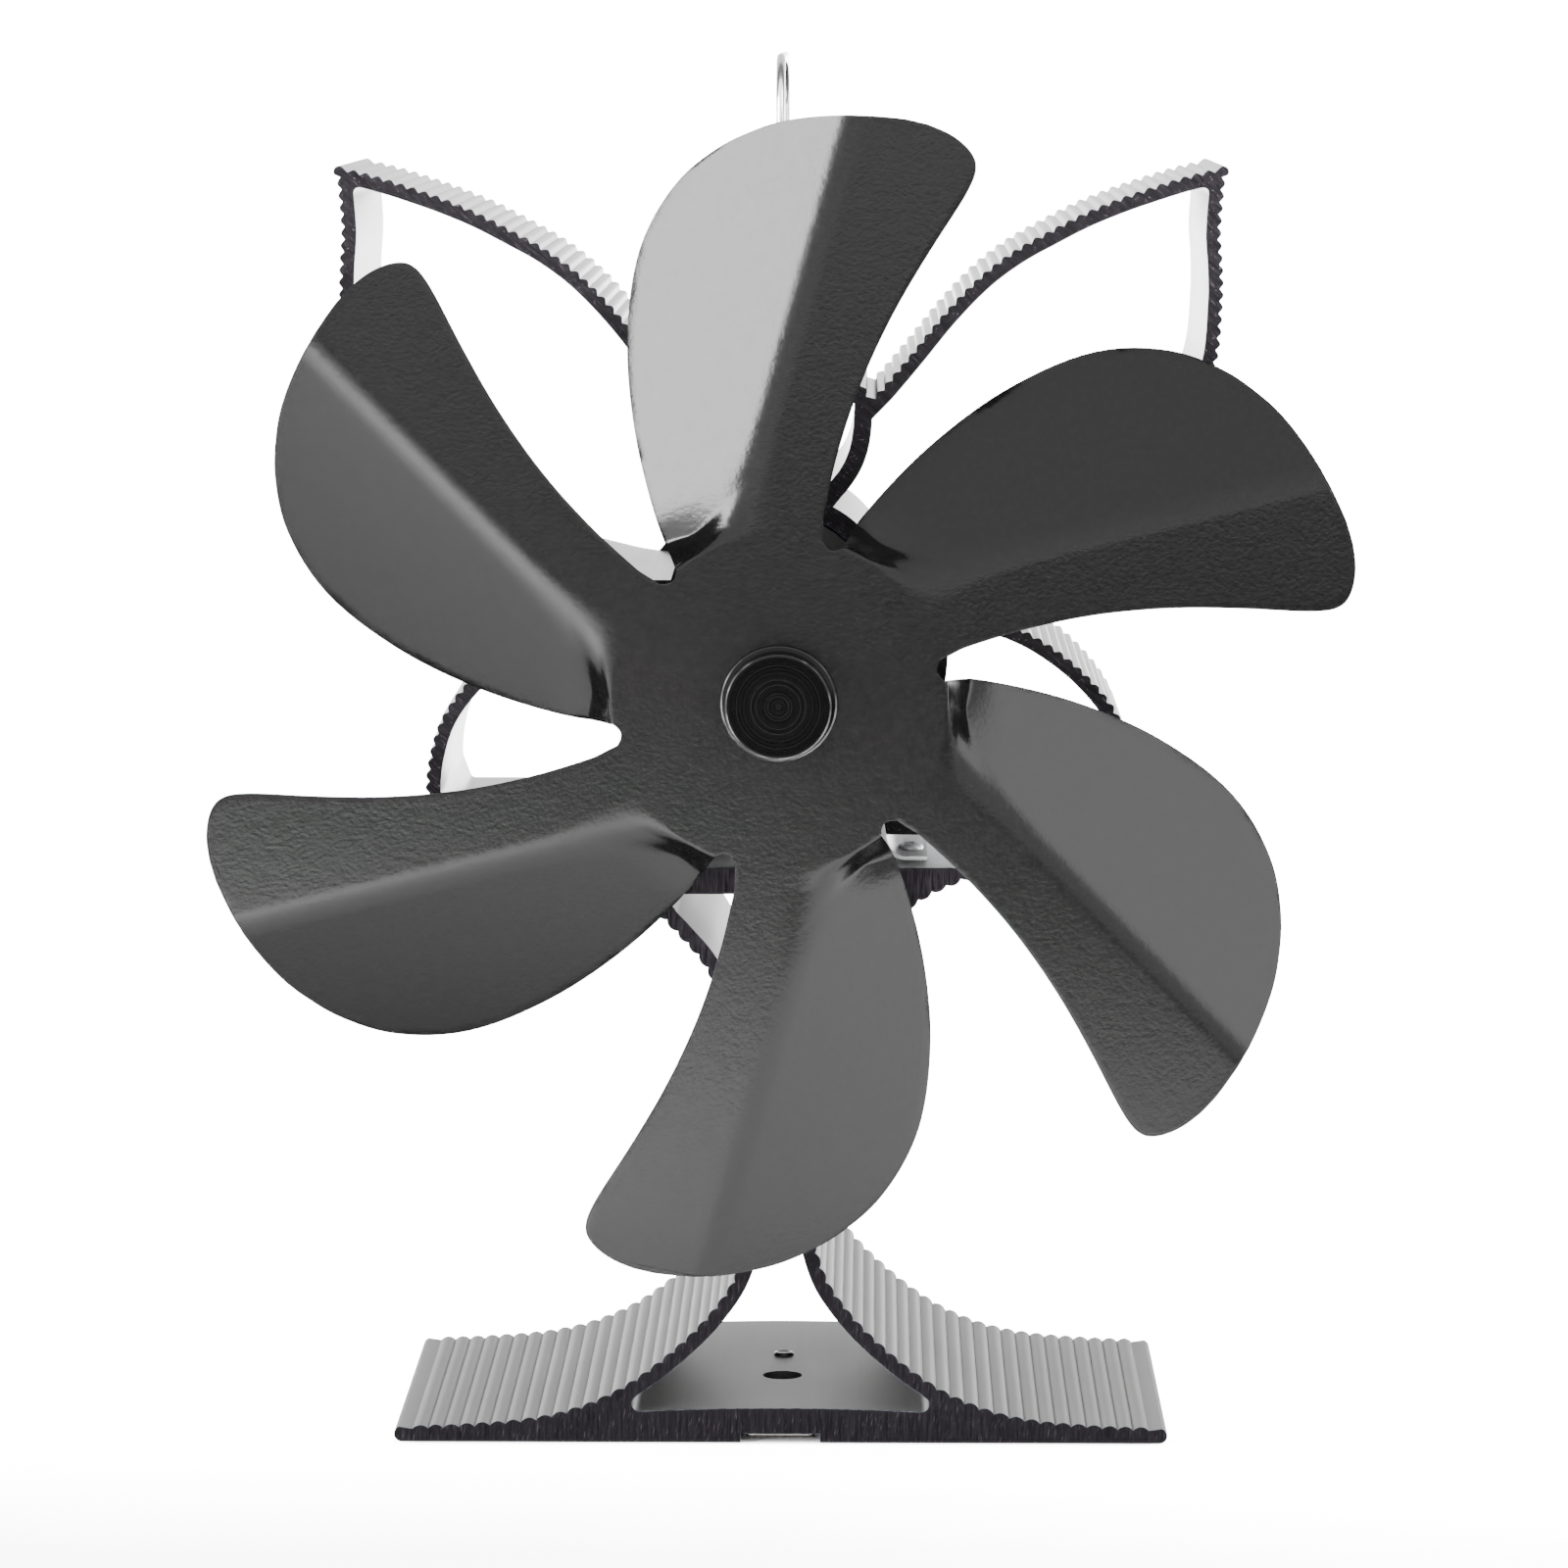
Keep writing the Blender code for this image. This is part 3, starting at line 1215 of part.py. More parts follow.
def make_handle(axis):
    steel = painted("handle_wire", (0.60, 0.60, 0.60), 0.2, 1.0)
    radius = HANDLE_WIRE_RADIUS
    front = -HANDLE_STANDOFF - radius
    back = SINK_DEPTH + HANDLE_STANDOFF + radius
    foot, bend, rise = HANDLE_FOOT_BEND, HANDLE_BEND, HANDLE_RISE
    route = [Vector((HANDLE_GRIP, 0))]
    route += arc((front + foot, foot), foot, -90, -180, 4)
    route += arc((front + bend, rise - bend), bend, 180, 90, 8)
    route += arc((back - bend, rise - bend), bend, 90, 0, 8)
    route += arc((back - foot, foot), foot, 0, -90, 4)
    route.append(Vector((SINK_DEPTH - HANDLE_GRIP, 0)))
    points = [(0, p.x, p.y) for p in route]
    wire_object("handle", points, radius, steel, 2).parent = axis


def make_everything():
    clear_scene()
    bpy.context.scene.unit_settings.system = "METRIC"
    fan_axis = axis_empty("fan_axis", FAN_AXIS)
    handle_axis = axis_empty("handle_axis", HANDLE_AXIS)
    strip_axis = axis_empty("strip_axis", STRIP_AXIS)
    make_base()
    make_strip(strip_axis)
    make_module()
    make_sink()
    make_brackets()
    make_clamp_screws()
    make_holder()
    make_rear_cover()
    make_motor_case()
    make_contacts()
    make_leads()
    make_armature(fan_axis)
    make_fan(fan_axis)
    make_boss(fan_axis)
    make_cap(fan_axis)
    make_handle(handle_axis)


make_everything()
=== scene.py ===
import math

import bmesh
import bpy
from mathutils import Euler, Matrix, Vector


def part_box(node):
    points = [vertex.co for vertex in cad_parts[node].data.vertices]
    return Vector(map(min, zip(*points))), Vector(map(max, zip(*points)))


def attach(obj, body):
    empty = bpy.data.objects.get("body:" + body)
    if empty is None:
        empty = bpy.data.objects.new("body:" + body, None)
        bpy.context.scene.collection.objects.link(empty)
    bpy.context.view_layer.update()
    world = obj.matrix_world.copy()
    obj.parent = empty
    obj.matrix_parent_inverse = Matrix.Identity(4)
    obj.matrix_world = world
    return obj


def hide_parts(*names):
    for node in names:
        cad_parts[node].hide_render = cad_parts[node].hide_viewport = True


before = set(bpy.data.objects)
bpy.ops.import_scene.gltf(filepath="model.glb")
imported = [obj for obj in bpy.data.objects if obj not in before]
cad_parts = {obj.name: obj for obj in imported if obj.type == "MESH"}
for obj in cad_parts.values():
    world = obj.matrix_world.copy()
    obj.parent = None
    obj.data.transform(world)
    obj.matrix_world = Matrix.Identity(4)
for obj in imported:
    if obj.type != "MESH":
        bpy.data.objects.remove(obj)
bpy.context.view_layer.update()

# Camera
# A long lens a metre in front of the fan, a little to the right of it and a hand above its hub,
# looking down by seven degrees.
def placed(name, data):
    """Puts data into the scene as an object."""
    made = bpy.data.objects.new(name, data)
    bpy.context.scene.collection.objects.link(made)
    return made


camera = placed("camera", bpy.data.cameras.new("camera"))
camera.data.lens = 143.55
camera.data.sensor_width = 36
camera.location = (0.01475, -1.0336, 0.23292)
camera.rotation_euler = Euler((math.radians(90 - 6.970), 0, math.radians(0.802)))
bpy.context.scene.camera = camera


# Studio floor
# A matt white board under the fan, many times larger than it, so that it fills the picture up to
# the horizon. It glows from below, as a product table does: fully behind the fan, and more and
# more towards the right in front of it. Under the foot the glow is cut out, a painted shadow.
class Signal:
    """A shader value that takes part in Python sums: each sum adds its Math node."""

    def __init__(self, finish, socket):
        self.finish = finish
        self.socket = socket

    def __add__(self, other):
        return self.finish.sum("ADD", self, other)

    def __sub__(self, other):
        return self.finish.sum("SUBTRACT", self, other)

    def __rsub__(self, other):
        return self.finish.sum("SUBTRACT", other, self)

    def __mul__(self, other):
        return self.finish.sum("MULTIPLY", self, other)

    __radd__ = __add__
    __rmul__ = __mul__


class Shading:
    """The nodes of one material or of the room, added by plain calls."""

    def __init__(self, tree, coordinates):
        self.nodes, self.links = tree.nodes, tree.links
        self.place = self.node("ShaderNodeTexCoord", coordinates)

    def feed(self, socket, value):
        if isinstance(value, Signal):
            self.links.new(value.socket, socket)
        else:
            socket.default_value = value

    def node(self, kind, output=0, settings=None, inputs=None):
        """Adds a node: its settings first, then the values or links of its sockets."""
        made = self.nodes.new(kind)
        for name, value in (settings or {}).items():
            setattr(made, name, value)
        for name, value in (inputs or {}).items():
            self.feed(made.inputs[name], value)
        return Signal(self, made.outputs[output])

    def sum(self, operation, *values):
        inputs = dict(enumerate(values))
        return self.node("ShaderNodeMath", 0, {"operation": operation}, inputs)

    def ramp(self, value, low, high, start=0.0, end=1.0):
        """The value's stretch from low to high, spread from start to end and held there."""
        inputs = {0: value, 1: low, 2: high, 3: start, 4: end}
        return self.node("ShaderNodeMapRange", 0, {"clamp": True}, inputs)

    def along(self, axis, vector=None):
        """The X, Y or Z part of a vector, or else of the place."""
        return self.node("ShaderNodeSeparateXYZ", axis, {}, {0: vector or self.place})

    def mix(self, factor, one, two):
        """One colour where the factor is 0, the other where it is 1. A bare number is a grey."""
        inputs = {0: factor}
        for socket, colour in ((6, one), (7, two)):
            if isinstance(colour, (int, float)):
                colour = (colour, colour, colour)
            inputs[socket] = colour if isinstance(colour, Signal) else (*colour, 1)
        return self.node("ShaderNodeMix", 2, {"data_type": "RGBA"}, inputs)


class Finish(Shading):
    """One surface finish: a material, and the nodes that vary it over the piece."""

    def __init__(self, name, sheen=0.5, **fixed):
        self.material = bpy.data.materials.new(name)
        self.material.use_nodes = True
        super().__init__(self.material.node_tree, "Object")
        self.shader = self.nodes["Principled BSDF"]
        self.set("Specular IOR Level", sheen)
        for socket, value in fixed.items():
            self.set(socket.replace("_", " "), value)

    def set(self, socket, value):
        self.feed(self.shader.inputs[socket], value)

    def stretched(self, scale, turn=(0, 0, 0), centre=(0, 0, 0)):
        """The piece's own coordinates, centred, turned by degrees and scaled, per axis or alike."""
        scale = scale if isinstance(scale, tuple) else (scale, scale, scale)
        moved = {"Vector": self.place, "Location": tuple(-c for c in centre)}
        moved = self.node("ShaderNodeMapping", 0, {"vector_type": "POINT"}, moved)
        turned = {"Vector": moved, "Rotation": tuple(math.radians(a) for a in turn)}
        turned = self.node("ShaderNodeMapping", 0, {"vector_type": "POINT"}, turned)
        return self.node("ShaderNodeMapping", 0, {}, {"Vector": turned, "Scale": scale})

    def noise(self, where, detail=2.0, rough=0.5):
        inputs = {"Vector": where, "Scale": 1.0, "Detail": detail, "Roughness": rough}
        return self.node("ShaderNodeTexNoise", "Fac", {}, inputs)

    def mottled(self, scale, dark, pale, **noise):
        """Lets the colour wander between two tones, and returns the noise that it follows."""
        grain = self.noise(self.stretched(scale), **noise)
        self.set("Base Color", self.mix(grain, dark, pale))
        return grain

    def relief(self, height, depth, strength):
        """Bumps of this height signal, whose full step is depth metres."""
        inputs = {"Height": height, "Distance": depth, "Strength": strength}
        return self.node("ShaderNodeBump", "Normal", {}, inputs)


def mesh_data(name, mesh):
    """The built mesh as data for an object."""
    data = bpy.data.meshes.new(name)
    mesh.to_mesh(data)
    mesh.free()
    return data


board = Finish("studio_board", 0.1, Roughness=0.9, Emission_Strength=12.0)
board.mottled(30, 0.93, 0.95, detail=3.0)
backward, sideways = board.along("Y"), board.along("X")
# Painted shadow: the board's glow is cut out under the foot.
foot_painted_shadow = board.ramp(board.sum("ABSOLUTE", backward - 0.0114), 0.0335, 0.0365, 1.0, 0.0)
foot_painted_shadow = foot_painted_shadow * board.ramp(board.sum("ABSOLUTE", sideways), 0.060, 0.0655, 1.0, 0.0)
glow = board.ramp(backward + 2.2 * sideways, -0.56, 0.68) + board.ramp(backward, -0.10, 0.0)
board.set("Emission Color", board.mix(glow * (1 - foot_painted_shadow), 0, (1, 1, 0.995)))
mesh = bmesh.new()
bmesh.ops.create_circle(mesh, cap_ends=True, segments=96, radius=40)
bmesh.ops.translate(mesh, verts=mesh.verts, vec=(0, 0, -0.0002))
floor = placed("studio_floor", mesh_data("studio_floor", mesh))
floor.data.materials.append(board.material)


# Studio light
# A white tent with a bright rear horizon, a strong softbox on the left, a soft one on the right, a
# spot on the board and a wide light from behind. A black arch over the fan, a card in front of it
# that is dark nearby and bright far off, and a black card under it show only in reflections.
room = bpy.data.worlds.new("studio_tent")
room.use_nodes = True
tent = Shading(room.node_tree, "Generated")
upward = tent.along("Z")
behind = tent.ramp(tent.along("Y"), 0.0, 0.5)
walls = tent.ramp(upward, 0.2, 0.9, 5.6, 4.2) * (1 - 0.62 * behind)
horizon = tent.ramp(upward, 0.012, 0.05, 10.5, 0.0) + tent.ramp(upward, 0.16, 0.32, 5.0, 0.0)
tent.feed(tent.nodes["Background"].inputs["Strength"], walls + behind * horizon)
tent.nodes["Background"].inputs["Color"].default_value = (1.0, 1.0, 0.995, 1)
bpy.context.scene.world = room


def seen_in_mirrors(name, mesh, finish):
    """A card of the studio that only shows in reflections."""
    card = placed(name, mesh_data(name, mesh))
    card.data.materials.append(finish.material)
    card.visible_camera = card.visible_diffuse = card.visible_shadow = False


def flat_card(half_width, half_depth, place):
    mesh = bmesh.new()
    bmesh.ops.create_grid(mesh, x_segments=1, y_segments=1, size=1.0)
    bmesh.ops.scale(mesh, verts=mesh.verts, vec=(half_width, half_depth, 1))
    bmesh.ops.translate(mesh, verts=mesh.verts, vec=place)
    return mesh


black_cloth = Finish("black_cloth", 0.0, Roughness=1.0)
black_cloth.mottled(20, 0.01, 0.03)
mesh = bmesh.new()
foot_line = [mesh.verts.new((2.6, y, 0.0)) for y in (-1.0, 1.0)]
foot_line.append(mesh.edges.new(foot_line))
bmesh.ops.spin(mesh, geom=foot_line, cent=(0, 0, 0), axis=(0, -1, 0), angle=math.pi, steps=24)
seen_in_mirrors("black_arch", mesh, black_cloth)
shaded = Finish("shaded_card", 0.1, Roughness=0.9, Emission_Strength=8.0)
backward, sideways = shaded.along("Y"), shaded.along("X")
shade = shaded.ramp(backward - 2.2 * sideways, -0.80, -0.47, 0.96, 0.0)
shade = shade * shaded.ramp(backward, -3.4, -2.0)
shaded.set("Base Color", shaded.mix(shade, 0.94, 0.02))
shaded.set("Emission Color", shaded.mix(shaded.ramp(backward, -6.5, -4.8, 1.0, 0.0), 0, 1))
seen_in_mirrors("shaded_card", flat_card(5.0, 5.0, (0, -5.45, 0.0005)), shaded)
faded = Finish("near_card", 0.0, Roughness=1.0)
faded.mottled(20, 0.004, 0.010)
faded.set("Alpha", faded.ramp(faded.along("Y") - 0.15 * faded.along("X"), -0.105, -0.035))
seen_in_mirrors("near_card", flat_card(1.6, 0.25, (0, 0.14, 0.0004)), faded)


def lamp(name, kind, power, place=(0, 0, 0), aim=(0, 0, -1)):
    """A lamp at the place, aimed at a point."""
    made = placed(name, bpy.data.lights.new(name, kind))
    made.data.energy = power
    made.location = place
    made.rotation_euler = (Vector(aim) - Vector(place)).to_track_quat("-Z", "Y").to_euler()
    return made


for name, power, place, aim, width, height in (
    ("softbox_left", 110, (-1.30, -0.95, 0.46), (0, 0, 0.15), 0.55, 0.65),
    ("softbox_right", 26, (1.15, -1.13, 0.82), (0, 0, 0.10), 0.9, 0.9),
):
    softbox = lamp(name, "AREA", power, place, aim)
    softbox.data.shape, softbox.data.size, softbox.data.size_y = "RECTANGLE", width, height
    softbox.visible_camera = False
pool = lamp("floor_spot", "SPOT", 5200, (-1.2, -1.0, 1.5), (-0.20, -0.40, 0))
pool.data.spot_size, pool.data.spot_blend = math.radians(13), 0.9
pool.data.shadow_soft_size = 0.10
back = lamp("back_light", "SUN", 7)
back.data.angle = math.radians(50)
back.rotation_euler = (math.radians(-30), 0, 0)
back.visible_glossy = False


# Base extrusion
# Aluminium drawn through a die in the shape of a spreading foot, a narrow waist and a top plate,
# with fine flutes along its outside. It is sawn to length, anodised black and drilled, and the top
# is milled bare where the module is clamped.
def smooth_line(points, steps):
    """Points along the soft curve that a die maker draws through the given ones."""
    line = [Vector(p) for p in points]
    line = [2 * line[0] - line[1], *line, 2 * line[-1] - line[-2]]
    found = []
    for a, b, c, d in zip(line, line[1:], line[2:], line[3:]):
        for step in range(steps):
            t = step / steps
            bend = t * t * (a - 2.5 * b + 2 * c - 0.5 * d)
            found.append(b + 0.5 * t * (c - a) + bend + t**3 * (1.5 * (b - c) + 0.5 * (d - a)))
    return [*found, line[-2]]


def even_line(line, count):
    """The line again in equal steps along its length."""
    lengths = [(b - a).length for a, b in zip(line, line[1:])]
    step = sum(lengths) / count
    found, walked = [line[0]], 0
    for a, b, length in zip(line, line[1:], lengths):
        while len(found) < count and walked + length >= step * len(found):
            found.append(a.lerp(b, (step * len(found) - walked) / length))
        walked += length
    return [*found, line[-1]]


def beside(line, distance):
    """The line moved to the right of its direction by the distance."""
    found = []
    for n, point in enumerate(line):
        ahead = line[min(n + 1, len(line) - 1)] - line[max(n - 1, 0)]
        found.append(point + Vector((ahead.y, -ahead.x)).normalized() * distance)
    return found


def fluted(line, pitch, height, points=8, sharp=0.8):
    """Flutes whose tops touch the line, with their valleys on its right; sharper tops above 1."""
    length = sum((b - a).length for a, b in zip(line, line[1:]))
    tops = even_line(line, points * max(1, round(length / pitch)))
    found = []
    for n, (top, root) in enumerate(zip(tops, beside(tops, height))):
        found.append(root.lerp(top, math.sin(math.pi * (n % points) / points) ** sharp))
    return found


def shares(table, width, height, bottom):
    return [Vector((x * width, bottom + z * height)) for x, z in table]


def round_corner(centre, radius, start, end, steps):
    """Points on a circle, with angles in degrees from +X towards +Z."""
    found = []
    for step in range(steps + 1):
        angle = math.radians(start + (end - start) * step / steps)
        found.append(Vector(centre) + radius * Vector((math.cos(angle), math.sin(angle))))
    return found


def flipped(line):
    return [Vector((-p.x, p.y)) for p in reversed(line)]


def both_sides(line):
    """A closed loop from its right-hand half."""
    return [*line, *flipped(line)]


def sawn_length(loops, front, depth, edge):
    """The die's outline filled, drawn back to the depth, and its sawn rims broken."""
    mesh = bmesh.new()
    for line in loops:
        ring = [mesh.verts.new((p.x, front + edge, p.y)) for p in line]
        for one, two in zip(ring, ring[1:] + ring[:1]):
            mesh.edges.new((one, two))
    bmesh.ops.triangle_fill(mesh, use_beauty=True, edges=mesh.edges[:], normal=(0, -1, 0))
    back = bmesh.ops.extrude_face_region(mesh, geom=mesh.faces[:])["geom"]
    back = [v for v in back if isinstance(v, bmesh.types.BMVert)]
    bmesh.ops.translate(mesh, verts=back, vec=(0, depth - 2 * edge, 0))
    bmesh.ops.recalc_face_normals(mesh, faces=mesh.faces)
    for side in (-1, 1):
        sawn = [f for f in mesh.faces if f.normal.y * side > 0.99 and f.material_index == 0]
        for face in sawn:
            face.material_index = 1
        rim = bmesh.ops.inset_region(
            mesh, faces=sawn, thickness=edge, depth=edge, use_boundary=True, use_even_offset=True
        )
        for face in rim["faces"]:
            face.material_index = 2
    return mesh


def set_in_place(name, mesh, finishes, node, crease=40, body="stand"):
    """Makes the mesh a piece that rides on a body and stands for a node of the frame."""
    data = mesh_data(name, mesh)
    for finish in finishes:
        data.materials.append(finish.material)
    data.shade_smooth()
    data.set_sharp_from_angle(angle=math.radians(crease))
    piece = placed(name, data)
    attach(piece, body)
    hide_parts(node)
    return piece


def carve(piece, mesh):
    """Takes a tool's shape out of the piece and leaves a plain mesh."""
    tool = placed("tool", mesh_data("tool", mesh))
    modifier = piece.modifiers.new("carve", "BOOLEAN")
    modifier.object, modifier.operation, modifier.solver = tool, "DIFFERENCE", "EXACT"
    done = piece.evaluated_get(bpy.context.evaluated_depsgraph_get())
    carved = bpy.data.meshes.new_from_object(done)
    piece.modifiers.remove(modifier)
    piece.data = carved
    bpy.data.objects.remove(tool)


def drilled(piece, holes):
    """Cuts round holes: each is a start, an end and a radius."""
    mesh = bmesh.new()
    for start, end, radius in holes:
        axis = Vector(end) - Vector(start)
        turn = axis.to_track_quat("Z", "Y").to_matrix().to_4x4()
        middle = Matrix.Translation((Vector(start) + Vector(end)) / 2)
        bmesh.ops.create_cone(
            mesh, cap_ends=True, segments=40, radius1=radius, radius2=radius,
            depth=axis.length, matrix=middle @ turn,
        )
    carve(piece, mesh)


def anodised_drawn(name, sheen, depth, rough):
    """Black anodised skin as it leaves the die: fine lines along Y and a cloudy sheen."""
    skin = Finish(name, sheen)
    lines = skin.noise(skin.stretched((3600, 16, 3600)), detail=3.0)
    cloud = skin.noise(skin.stretched((70, 40, 70)), detail=4.0)
    dark, middle, pale = (
        tuple(depth * c for c in (k, 1.04 * k, 1.02 * k)) for k in (0.026, 0.036, 0.046)
    )
    skin.set("Base Color", skin.mix(skin.ramp(lines, 0.45, 0.75), skin.mix(cloud, dark, middle), pale))
    skin.set("Roughness", rough + 0.05 * cloud + 0.08 * lines)
    skin.set("Normal", skin.relief(lines, 0.00001, 0.5))
    return skin


def anodised_sawn(name, sheen, lean, light, grit, top_painted_light):
    """Sawn end under the anodising: fine scratches at a lean from upright, a few of them bright.
    Higher up the scratches are painted lighter, a painted light.
    """
    end = Finish(name, sheen)
    marks = end.noise(end.stretched((3000, 300, 180), turn=(0, lean, 0)), detail=3.0, rough=0.6)
    fine = end.noise(end.stretched((4600, 300, 420), turn=(0, lean - 9, 0)), detail=1.0)
    speck = end.noise(end.stretched(2600), detail=1.0)
    pale, brighter, highlight_band, brightest = (
        tuple(light * much * c for c in (0.0090, 0.0078, 0.0095)) for much in (1.0, 4.0, 6.0, 8.0)
    )
    tone = end.mix(end.ramp(marks, 0.32, 0.72), (0.0010, 0.0008, 0.0012), pale)
    tone = end.mix(end.ramp(fine, 0.62, 0.78, 0.0, 0.7), tone, brighter)
    tone = end.mix(end.ramp(speck, 0.70, 0.80, 0.0, grit), tone, brightest)
    # Painted light: the scratches grow lighter towards the top of the face.
    upper_face_light_mask = end.ramp(end.along("Z"), 0.03, 0.09, 0.0, top_painted_light) * end.ramp(marks, 0.35, 0.75)
    end.set("Base Color", end.mix(upper_face_light_mask, tone, highlight_band))
    end.set("Roughness", 0.42 + 0.20 * marks)
    end.set("Normal", end.relief(marks + fine, 0.00002, 0.6))
    return end


def anodised_rim(name):
    """The broken edge of a sawn end, paler and part metallic: a painted highlight line, broken by
    noise.
    """
    rim = Finish(name, 0.25, Metallic=0.2, Roughness=0.34)
    # Painted highlight: the rim is paler than the anodised skin, in patches.
    rim_glint_noise = rim.ramp(rim.noise(rim.stretched(900), detail=3.0), 0.4, 0.7)
    rim.set("Base Color", rim.mix(rim_glint_noise, (0.008, 0.009, 0.012), (0.040, 0.044, 0.052)))
    return rim


base_low, base_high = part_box("base_heat_sink")
base_front, base_depth = base_low.y, base_high.y - base_low.y
base_half, base_height = base_high.x, base_high.z
foot_side = shares(
    (
        (0.952, 0.029), (0.832, 0.032), (0.670, 0.041), (0.548, 0.058), (0.437, 0.088),
        (0.341, 0.129), (0.241, 0.186), (0.175, 0.234), (0.124, 0.285), (0.094, 0.345),
        (0.075, 0.414), (0.067, 0.503), (0.075, 0.591), (0.097, 0.665), (0.137, 0.748),
        (0.195, 0.827), (0.252, 0.874), (0.326, 0.924), (0.391, 0.953), (0.465, 0.975),
    ),
    base_half, base_height, 0,
)
foot_side = smooth_line(foot_side, 12)
toe, plate_half, plate_lip = 0.0013, 0.03125, 0.0012
groove_half, groove_depth = 0.0065, 0.0015
flute_pitch, flute_depth = 0.00255, 0.00058
toe_end = round_corner((base_half - toe, toe), toe, -90, 70, 8)
plate_end = round_corner((plate_half - plate_lip, base_height - plate_lip), plate_lip, -50, 90, 8)
groove = [Vector((groove_half, groove_depth)), Vector((groove_half, 0))]
flutes = fluted(foot_side, flute_pitch, -flute_depth, 10)
base_outline = both_sides([*groove, *toe_end, *flutes, *plate_end])


def waist_cavity(low, high, upward, crown):
    """The cavity inside the foot's or the plate's arms: a slightly crowned floor, round corners."""
    apex_half, wall, corner = 0.0028, 0.0026, 0.0013
    sign, level = (1, low) if upward else (-1, high)
    pairs = list(zip(beside(foot_side, -wall - corner), beside(foot_side, -wall)))
    pairs = pairs if upward else pairs[::-1]
    pairs = [
        (c, p) for c, p in pairs
        if sign * (c.y - level) >= corner and low < p.y < high and p.x > apex_half
    ]
    kept = [p for c, p in pairs]
    centre = Vector((pairs[0][0].x, level + sign * corner))
    lean = math.degrees(math.atan2(kept[0].y - centre.y, kept[0].x - centre.x))
    bend = round_corner(centre, corner, -90 * sign, lean, 8)
    floor_line = [
        Vector((centre.x * t, level + sign * crown * (1 - t * t))) for t in (0.1, 0.3, 0.5, 0.7, 0.9)
    ]
    apex = kept[-1] + Vector((-0.6 * apex_half, 0.9 * sign * apex_half))
    top = smooth_line([kept[-2], kept[-1], apex, Vector((-apex.x, apex.y))], 5)[5:11]
    return both_sides([*floor_line, *bend, *kept[1:], *top[1:]])


floor_thick, plate_thick, middle = 0.0052, 0.0044, base_height / 2
foot_cavity = waist_cavity(floor_thick, middle, True, 0.0006)
plate_cavity = waist_cavity(middle, base_height - plate_thick, False, 0.0)
drawn_black = anodised_drawn("black_anodised_base_drawn", 0.11, 0.60, 0.40)
# Painted shade and painted light: the base's sawn ends are toned darker than the sink's (0.42 against
# 0.80), against the glowing board in front, and lighter towards the top plate.
sawn_black = anodised_sawn("black_anodised_base_sawn", 0.02, 0, 0.42, 0.12, 0.7)
rim_black = anodised_rim("black_anodised_base_painted_rim_highlight")
milled_bare = Finish("black_anodised_base_milled", Metallic=1.0)
cutter = milled_bare.mottled((2400, 60, 60), (0.62, 0.63, 0.64), (0.76, 0.77, 0.78), detail=3.0)
milled_bare.set("Roughness", 0.48 + 0.12 * cutter)
milled_bare.set("Normal", milled_bare.relief(cutter, 0.000008, 0.5))


def milled_flat(mesh, level, facing):
    """Marks the flat face at the level as milled bare, where the module is clamped."""
    for face in mesh.faces:
        if face.normal.z * facing > 0.95 and abs(face.calc_center_median().z - level) < 0.0001:
            face.material_index = 3
    return mesh


saw_edge, overrun = 0.00008, 0.001
mesh = sawn_length([base_outline, foot_cavity, plate_cavity], base_front, base_depth, saw_edge)
base = set_in_place(
    "base_extrusion", milled_flat(mesh, base_height, 1),
    (drawn_black, sawn_black, rim_black, milled_bare), "base_heat_sink", 44,
)
sink_low, sink_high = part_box("upper_heat_sink")
access_y, rivet_y = base_front + 0.0255, base_front + 0.042
clamp_ys = (sink_low.y + 0.0065, sink_high.y - 0.0065)
bracket_x, bracket_ys = 0.0213, (base_front + 0.013, sink_high.y - 0.009)
access_hole, clamp_hole, small_hole = 0.0033, 0.0018, 0.0015
base_top = base_height + overrun
base_holes = [
    ((0, access_y, -overrun), (0, access_y, 0.008), access_hole),
    ((0, rivet_y, -overrun), (0, rivet_y, 0.008), small_hole),
]
for y in clamp_ys:
    base_holes.append(((0, y, base_height - 0.006), (0, y, base_top), clamp_hole))
for x in (-bracket_x, bracket_x):
    for y in bracket_ys:
        base_holes.append(((x, y, base_height - 0.003), (x, y, base_top), small_hole))
drilled(base, base_holes)


# Safety strip and its rivet
# A thin two-metal strip lies in the groove under the foot, held by one steel rivet whose closed end
# shows on the floor plate. It is rolled, so fine lines run along it. Its bright metal shows only in a
# thin band along the top of its sides; the rest is painted black, as shade in the groove.
def dress(finish, *nodes):
    """Gives nodes of the frame their finish and leaves their meshes alone."""
    for node in nodes:
        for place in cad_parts[node].material_slots:
            place.material = finish.material


def brushed(name, colour, rough=0.28, turn=(0, 0, 0), scale=(40, 2600, 2600), **fixed):
    """Bright metal with fine lines along X, before its turn, and faint cloudy staining."""
    metal = Finish(name, Metallic=1.0, **fixed)
    lines = metal.noise(metal.stretched(scale, turn), detail=3.0)
    cloud = metal.noise(metal.stretched(160), detail=3.0)
    dark = tuple(0.72 * c for c in colour)
    metal.set("Base Color", metal.mix(metal.ramp(lines + 0.6 * cloud, 0.55, 1.1), dark, colour))
    metal.set("Roughness", rough - 0.06 + 0.12 * cloud + 0.10 * lines)
    metal.set("Normal", metal.relief(lines, 0.000006, 0.5))
    return metal


def standing(place, axis):
    """The matrix that moves a piece built upright at zero to the place, along the axis."""
    turn = Vector((0, 0, 1)).rotation_difference(Vector(axis)).to_matrix().to_4x4()
    return Matrix.Translation(Vector(place)) @ turn


